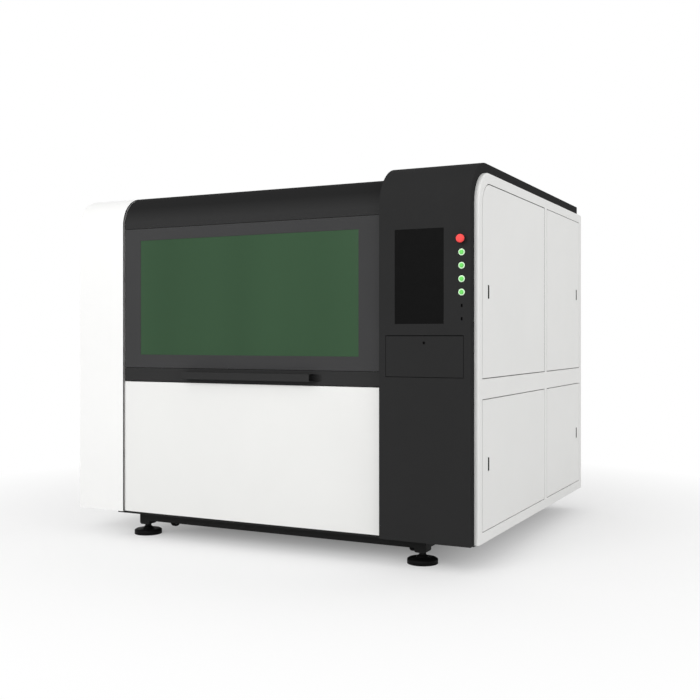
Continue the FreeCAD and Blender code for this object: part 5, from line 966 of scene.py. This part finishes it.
def screw_panels():
    """Screws round the rear wall and along the roof's rear edge."""
    low, high, middle = node_box("rear_panel")
    inset, spacing = mm(16, 210)
    size = high - low - 2 * inset
    places = edge_places(size[0], size[2], spacing, (middle[0], rear_sheet(), middle[2]), REAR)
    piece("rear_screws", "cabinet", "case_white", "turned_steel", screws(places, REAR))
    low, high, _ = node_box("roof_panel")
    places = lattice(np.linspace(low[0] + inset, high[0] - inset, 10), [high[1] - inset], [high[2]])
    piece("roof_screws", "cabinet", "roof_charcoal", "turned_steel", screws(places, TOP))


def fit_outlet():
    """Flange screws and a wire guard of rings and spokes in the mouth of the hose spigot."""
    build = maker("cabinet", "fan_grey")
    x, _, z = placed(frame["joints"], "fan_spin")
    mouth = node_box("fan_housing")[1][1]
    flange, bolt_circle, wire, inset, reach = mm(3, 109, 1.5, 8, 95.5)
    angle = np.arange(8)[:, None] * math.pi / 4
    around = np.hstack((np.cos(angle), 0 * angle, np.sin(angle)))
    build("outlet_screws", "turned_steel", screws((x, rear_sheet() + flange, z) + bolt_circle * around, REAR))
    turn = np.linspace(0.0, math.tau, 7)
    section = wire * np.column_stack((np.cos(turn), np.sin(turn)))
    centre = (x, mouth - inset, z)
    rings = [turned(section + (radius, 0), centre, REAR, steps=48) for radius in mm(20, 38, 56, 74, 90)]
    spokes = [tube((centre - reach * arm, centre, centre + reach * arm), 1.2 * wire, REAR, sides=6)
              for arm in around[:4]]
    build("outlet_guard", "turned_steel", *rings, *spokes)


def fit_gland():
    """Moulded cable gland: a hexagon body and a dome nut round the open bore."""
    x, _, z = placed(frame["record"]["mounts"], "cable_gland")
    place = x, rear_sheet(), z
    body = mm((-1.6, 0), (0, 0.8), (0, 8), (-1.6, 8.8), (-3, 8.8), (-3, 0), (-1.6, 0))
    dome = mm((16.1, 9), (18, 9), (18, 18), (17.4, 22), (15.4, 25.6), (12, 26.6), (9.7, 26.6), (9.7, 26.05),
              (16.1, 26.05), (16.1, 9))
    piece("gland_nut", "cabinet", "case_white", "black_plastic",
          raised(hexagon(38 * MM), body, place, REAR, capped=False), turned(dome, place, REAR, steps=36))


def line_louvres():
    """Folded lip over each vent slot on the sheet's inner side: its section slopes down and in."""
    build = maker("cabinet", "case_white")
    left = node_box("left_side_panel")[0][0]
    rear_low = node_box("rear_panel")[0]
    floor, sheet, pitch, first, rear_first, slot, half, aside = mm(123, 2, 24, 180, 200, 8, 108, 330)
    lip = mm((0, 1), (5, -1), (9, -6), (8, -6.6), (4.4, -2.2), (0, -0.4), (0, 1))
    rows = np.arange(10) * pitch + slot
    places = [(left + sheet, side * aside, floor + first + z) for side in (-1, 1) for z in rows]
    build("left_louvre_lips", "white_coat", lips(lip, half, places, RIGHT))
    grille_x = placed(frame["record"]["mounts"], "cable_gland")[0]
    places = [(grille_x, rear_low[1], floor + rear_first + z) for z in rows]
    build("rear_louvre_lips", "white_coat", lips(lip, half, places, FRONT))


def lips(section, half, places, inward):
    """Closed section of (depth, height) carried sideways: place + depth * inward + height * up + side * width."""
    width, height, inward = side_axes(inward)
    depth, high = section.T
    ring = depth[:, None] * inward + high[:, None] * height
    ends = np.ones((len(ring), 1)) * ring[:-1].mean(axis=0)
    sides = np.array((-half, -half, half, half))[:, None, None] * width
    shape = np.stack((ends, ring, ring, ends)) + sides
    return standing(shape, places)


class LASERMACHINE_OT_fit_casing(bpy.types.Operator):
    """Adds latch pads, the service door's lip that darkens its gaps as painted shade, screws, the fume outlet's
    guard, the gland and the louvre lips
    """

    bl_idname = "laser_machine.fit_casing"
    bl_label = "Fit the casing"

    def execute(self, context):
        fit_latches()
        line_service_door_shade()
        screw_panels()
        fit_outlet()
        fit_gland()
        line_louvres()
        return {"FINISHED"}


# --- motion system and cutting head
def plugs(places, outward):
    """Flat plugs of bolt holes."""
    return turned(mm((4.8, 0), (4.5, 0.25), (0, 0.25)), places, outward, steps=12)


def dress_tracks():
    """Plugs along the two rails, and magnet tiles along the two tracks."""
    build = maker("cabinet", "guide_steel")
    low, high, _ = node_box("y_guides")
    rail_axis, rail_end, track_axis, track_end, track_height = mm(10, 30, 75, 20, 10)
    xs = low[0] + rail_axis, high[0] - rail_axis
    ys = np.linspace(low[1] + rail_end, high[1] - rail_end, 25)
    build("rail_plugs", "dark_steel", plugs(lattice(xs, ys, [high[2]]), TOP))
    xs = low[0] + track_axis, high[0] - track_axis
    ys = np.linspace(low[1] + track_end, high[1] - track_end, 49)
    places = lattice(xs, ys, [low[2] + track_height])
    build("magnet_tiles", "turned_steel", slabs(mm(44, 26, 0.6), places, TOP, edge=0.3 * MM, steps=1))


def dress_beam():
    """End caps with four screws each, rail plugs along the beam's front, and wipers of its bearings."""
    build = maker("gantry", "beam_aluminium")
    low, high, _ = node_box("gantry_beam")
    rails_low, rails_high, _ = node_box("y_guides")
    depth, tall, beam_low, rail, cap_rise, corner, inset = mm(120, 150, 860, 18, 4, 3, 12)
    plug_end, plug_edge, rail_axis, bearing_end, bearing_axis = mm(40, 30, 10, 10, 806.5)
    front = low[1] + rail
    cap = mm((0, 0), (0, 3), (-1, 4))
    caps, heads = [], []
    for x, outward in ((low[0], LEFT), (high[0], RIGHT)):
        middle = np.array((x, front + depth / 2, beam_low + tall / 2))
        caps.append(raised(rounded(depth, tall, corner), cap, middle, outward))
        middle += cap_rise * np.array(outward)
        places = edge_places(depth - 2 * inset, tall - 2 * inset, 1.0, middle, outward)
        heads.append(screws(places, outward, 3 * MM))
    build("beam_caps", "black_plastic", *caps)
    build("beam_cap_screws", "dark_steel", *heads)
    xs = np.linspace(low[0] + plug_end, high[0] - plug_end, 28)
    zs = beam_low + plug_edge, beam_low + tall - plug_edge
    build("beam_rail_plugs", "dark_steel", plugs(lattice(xs, [low[1]], zs), FRONT))
    wiper = mm((0, 0), (0, 2.4), (-0.6, 3))
    xs = rails_low[0] + rail_axis, rails_high[0] - rail_axis
    build("bearing_wipers", "black_rubber",
          *(raised(rounded(*mm(46, 12, 1), steps=2), wiper, lattice(xs, [y], [bearing_axis]), outward)
            for y, outward in ((front + bearing_end, FRONT), (front + depth - bearing_end, REAR))))


def dress_carriage():
    """Motor boot with its plug, cover strips of the lift unit and cap screws of the carriage plate."""
    build = maker("carriage", "carriage_black")
    low, high, middle = node_box("x_carriage")
    motor, strip_aside, strip_front, strip_z, plate_front, inset = mm(42, 44, 12, 1000, 72, 12)
    boot = mm((0, 0), (24, 0), (24, 5), (21, 8), (8, 8), (8, 20), (6, 22), (0, 22))
    build("motor_boot", "black_plastic", turned(boot, (middle[0], low[1] + motor, high[2]), TOP))
    cover = mm((0, 0), (0, 1.4), (-0.8, 2))
    places = [(middle[0] + side * strip_aside, low[1] + strip_front, strip_z) for side in (-1, 1)]
    build("lift_cover", "brushed_aluminium", raised(rounded(*mm(26, 270, 3)), cover, places, FRONT))
    places = lattice((low[0] + inset, high[0] - inset), [low[1] + plate_front], mm(850, 905, 965, 1020))
    build("carriage_screws", "turned_steel", screws(places, FRONT, 5 * MM))


def dress_head():
    """Nozzle, insulator and sensor collar, lens drawers, cover, gas fittings, bands and the fibre's boot."""
    build = maker("head", "head_white")
    low = node_box("cutting_head")[0]
    half, cover_z, fibre_z = mm(30, 1020, 1151)
    axis = np.array((node_box("x_carriage")[2][0], low[1] + half, low[2]))

    def up_axis(*heights):
        """Places on the head's axis at those heights in millimetres."""
        return lattice([axis[0]], [axis[1]], mm(*heights))

    tip = {
        "nozzle_tip": ("nozzle_copper", mm((1.55, 0.1), (3.3, 0), (9.3, 15.5), (11.8, 16), (11.8, 21.4),
                                           (1.55, 21.4), (1.55, 0.1))),
        "ceramic_ring": ("white_ceramic", mm((1.6, 21.5), (16, 21.5), (17, 22.4), (17, 30.6), (16, 31.4),
                                             (1.6, 31.4), (1.6, 21.5))),
        "sensor_collar": ("turned_steel", mm((1.6, 31.5), (19, 31.5), (20, 32.3), (20, 39), (24.4, 40.5),
                                             (25.4, 42), (25.4, 50), (24.4, 51), (1.6, 51), (1.6, 31.5))),
    }
    for name, (coat, profile) in tip.items():
        build(name, coat, turned(profile, axis, TOP, steps=36))
    drawers = up_axis(930, 962) - (0, half, 0)
    drawer, grip = mm((0, 0), (0, 5), (-1.2, 7)), mm((0, 6.5), (0, 11), (-1.4, 13))
    build("lens_drawers", "black_plastic", raised(rounded(*mm(46, 18, 2)), drawer, drawers, FRONT),
          raised(rounded(*mm(22, 8, 3)), grip, drawers, FRONT))
    cover = mm((0, 0), (0, 0.5), (-0.4, 0.8))
    build("head_cover", "charcoal_coat",
          raised(rounded(*mm(48, 56, 3)), cover, (axis[0], axis[1] - half, cover_z), FRONT))
    fitting = mm((0, 0), (6, 0), (6, 4), (4.4, 5), (4.4, 10), (6.4, 10), (6.4, 17), (5, 18.4), (0, 18.4))
    build("gas_fittings", "turned_steel", turned(fitting, up_axis(915, 1040) - (half, 0, 0), LEFT, steps=18))
    band = mm((21.1, 0), (22.4, 0), (23, 0.8), (23, 9.2), (22.4, 10), (21.1, 10), (21.1, 0))
    build("collimator_bands", "black_plastic", turned(band, up_axis(1064, 1132), TOP, steps=36))
    boot = mm((10.2, 0), (13, 0), (13, 6), (11.8, 10), (11.8, 26), (10.2, 30), (10.2, 0))
    build("fibre_boot", "black_rubber", turned(boot, (axis[0], axis[1], fibre_z), TOP))


class LASERMACHINE_OT_dress_motion(bpy.types.Operator):
    """Adds rail plugs, magnet tiles, beam caps, bearing wipers, and the small parts of the carriage and the head"""

    bl_idname = "laser_machine.dress_motion"
    bl_label = "Dress the motion system"

    def execute(self, context):
        dress_tracks()
        dress_beam()
        dress_carriage()
        dress_head()
        return {"FINISHED"}


# --- service cabinet
def dress_panel():
    """Fronts on what the mounting plate carries; places count from the plate's lower front corner."""
    build = maker("cabinet", "electrical_grey")
    corner = node_box("electrical_panel")[0] + (3 * MM, 0, 0)
    drives, breakers, terminals = 95 + 110.0 * np.arange(4), 77 + 38.0 * np.arange(12), 70 + 10.0 * np.arange(112)
    # piece: its finish, size and edge (none for a screw), depth from the plate, and where it repeats along Y and Z
    units = {
        "drive_fronts": ("grey_plastic", (66, 204, 5), 1, 150, drives, [455]),
        "drive_displays": ("black_plastic", (36, 26, 1.2), 0.6, 155, drives, [525]),
        "drive_vents": ("black_plastic", (46, 3, 0.6), 0.3, 155, drives, 380 + 9.0 * np.arange(11)),
        "breaker_fronts": ("white_ceramic", (33, 44, 6), 1, 65, breakers, [245]),
        "breaker_toggles": ("blue_plastic", (14, 16, 9), 2, 71, breakers, [248]),
        "duct_ribs": ("grey_plastic", (5, 25, 1), 0.4, 60, 52 + 12.5 * np.arange(94), [315.5]),
        "terminal_blocks": ("grey_plastic", (8.6, 62, 5), 1, 45, terminals, [95]),
        "terminal_screws": ("turned_steel", None, None, 50, terminals, [78, 112]),
        "supply_vents": ("black_plastic", (3, 180, 0.6), 0.3, 110, 585 + 12.0 * np.arange(13), [445]),
        "controller_front": ("black_plastic", (250, 230, 4), 2, 90, [950], [420]),
        "controller_ports": ("grey_plastic", (22, 34, 8), 1, 94, 850 + 34.0 * np.arange(7), [340, 500]),
    }
    cut_corners = "drive_vents", "duct_ribs", "terminal_blocks", "supply_vents"
    screw = mm((2.6, 0), (2.6, 0.8), (0, 0.8))
    for name, (coat, size, edge, depth, ys, zs) in units.items():
        places = corner + lattice([depth], ys, zs) * MM
        steps = 1 if name in cut_corners else 2
        build(name, coat, slabs(mm(*size), places, RIGHT, edge * MM, steps) if size else
              turned(screw, places, RIGHT, steps=8))


def dress_source():
    """Front plate with two lamps and a stop lamp, and a boot round the fibre's outlet."""
    build = maker("cabinet", "source_white")
    low, high, middle = node_box("laser_source")
    top, outlet, outlet_aside, plate, lamp_rise, lamp_step = mm(503, 60, 6, 3, 110, 40)
    front = np.array((middle[0], low[1], (low[2] + top) / 2))
    build("source_plate", "charcoal_coat", slabs((*mm(300, 300), plate), front, FRONT))
    lamp = mm((6, 0), (6, 3), (4.6, 5), (0, 5.8))
    places = front + [(lamp_step * side, -plate, lamp_rise) for side in (-1, 0, 1)]
    build("source_lamps", "lens_green", turned(lamp, places[:2], FRONT))
    build("source_stop_lamp", "red_plastic", turned(lamp, places[2:], FRONT))
    boot = mm((14.1, 0), (20, 0), (20, 6), (17, 10), (17, 50), (14.1, 54), (14.1, 0))
    build("fibre_outlet_boot", "black_rubber", turned(boot, (middle[0] - outlet_aside, high[1] - outlet, top), TOP))


def dress_chiller():
    """Ring of the filler cap, hose rings, a round gauge and a display on the chiller."""
    build = maker("cabinet", "chiller_white")
    low, high, middle = node_box("chiller")
    top, cap_in, hose_aside, hose_in, gauge_aside, display_aside, down = mm(663, 90, 40, 60, 90, 60, 80)
    cap = mm((30.2, 2), (32, 4), (32, 18), (30.2, 20), (30.2, 2))
    build("filler_cap_ring", "black_plastic", turned(cap, (middle[0], low[1] + cap_in, top), TOP, steps=40))
    ring = mm((9.1, 0), (13, 0), (13, 5), (11, 6), (11, 14), (9.1, 14), (9.1, 0))
    hoses = [(middle[0] + side * hose_aside, high[1] - hose_in, top) for side in (-1, 1)]
    build("hose_rings", "turned_steel", turned(ring, hoses, TOP))
    case, dial = mm((26, 0), (28, 2), (28, 9), (25, 11)), mm((25, 10.9), (23.4, 9.2), (0, 9.2))
    place = (middle[0] - gauge_aside, low[1], top - down)
    build("pressure_gauge", "turned_steel", *(turned(profile, place, FRONT, steps=36) for profile in (case, dial)))
    build("chiller_display", "black_plastic",
          slabs(mm(90, 50, 3), (middle[0] + display_aside, low[1], top - down), FRONT, edge=2 * MM))


class LASERMACHINE_OT_dress_cabinet(bpy.types.Operator):
    """Adds fronts to the drives and breakers, duct ribs, terminals, lamps on the source, and a cap ring, hose rings,
    a gauge and a display on the chiller
    """

    bl_idname = "laser_machine.dress_cabinet"
    bl_label = "Dress the service cabinet"

    def execute(self, context):
        dress_panel()
        dress_source()
        dress_chiller()
        return {"FINISHED"}


# --- add-on
OPERATORS = (LASERMACHINE_OT_set_studio, LASERMACHINE_OT_coat_sheet_metal, LASERMACHINE_OT_finish_fittings,
             LASERMACHINE_OT_trim_front_door, LASERMACHINE_OT_fit_controls, LASERMACHINE_OT_build_feet,
             LASERMACHINE_OT_fit_casing, LASERMACHINE_OT_dress_motion, LASERMACHINE_OT_dress_cabinet)


class LASERMACHINE_PT_sidebar(bpy.types.Panel):
    """Lists the steps in their order"""

    bl_idname = "LASERMACHINE_PT_sidebar"
    bl_label = "Laser machine"
    bl_space_type = "VIEW_3D"
    bl_region_type = "UI"
    bl_category = "Laser machine"

    def draw(self, context):
        for step in OPERATORS:
            self.layout.operator(step.bl_idname)


CLASSES = (StudioSettings, CoatSettings, FittingSettings, LaserMachineSettings, *OPERATORS, LASERMACHINE_PT_sidebar)


def register():
    """Registers the classes and hangs the settings on the scene."""
    for made in CLASSES:
        bpy.utils.register_class(made)
    bpy.types.Scene.laser_machine = PointerProperty(type=LaserMachineSettings)


def unregister():
    """Takes the settings and the classes away again."""
    del bpy.types.Scene.laser_machine
    for made in reversed(CLASSES):
        bpy.utils.unregister_class(made)


def main():
    """Runs every step in order."""
    register()
    for step in OPERATORS:
        group, name = step.bl_idname.split(".")
        result = getattr(getattr(bpy.ops, group), name)()
        if "FINISHED" not in result:
            raise RuntimeError(f"{step.bl_idname} did not finish")


if __name__ == "__main__":
    main()
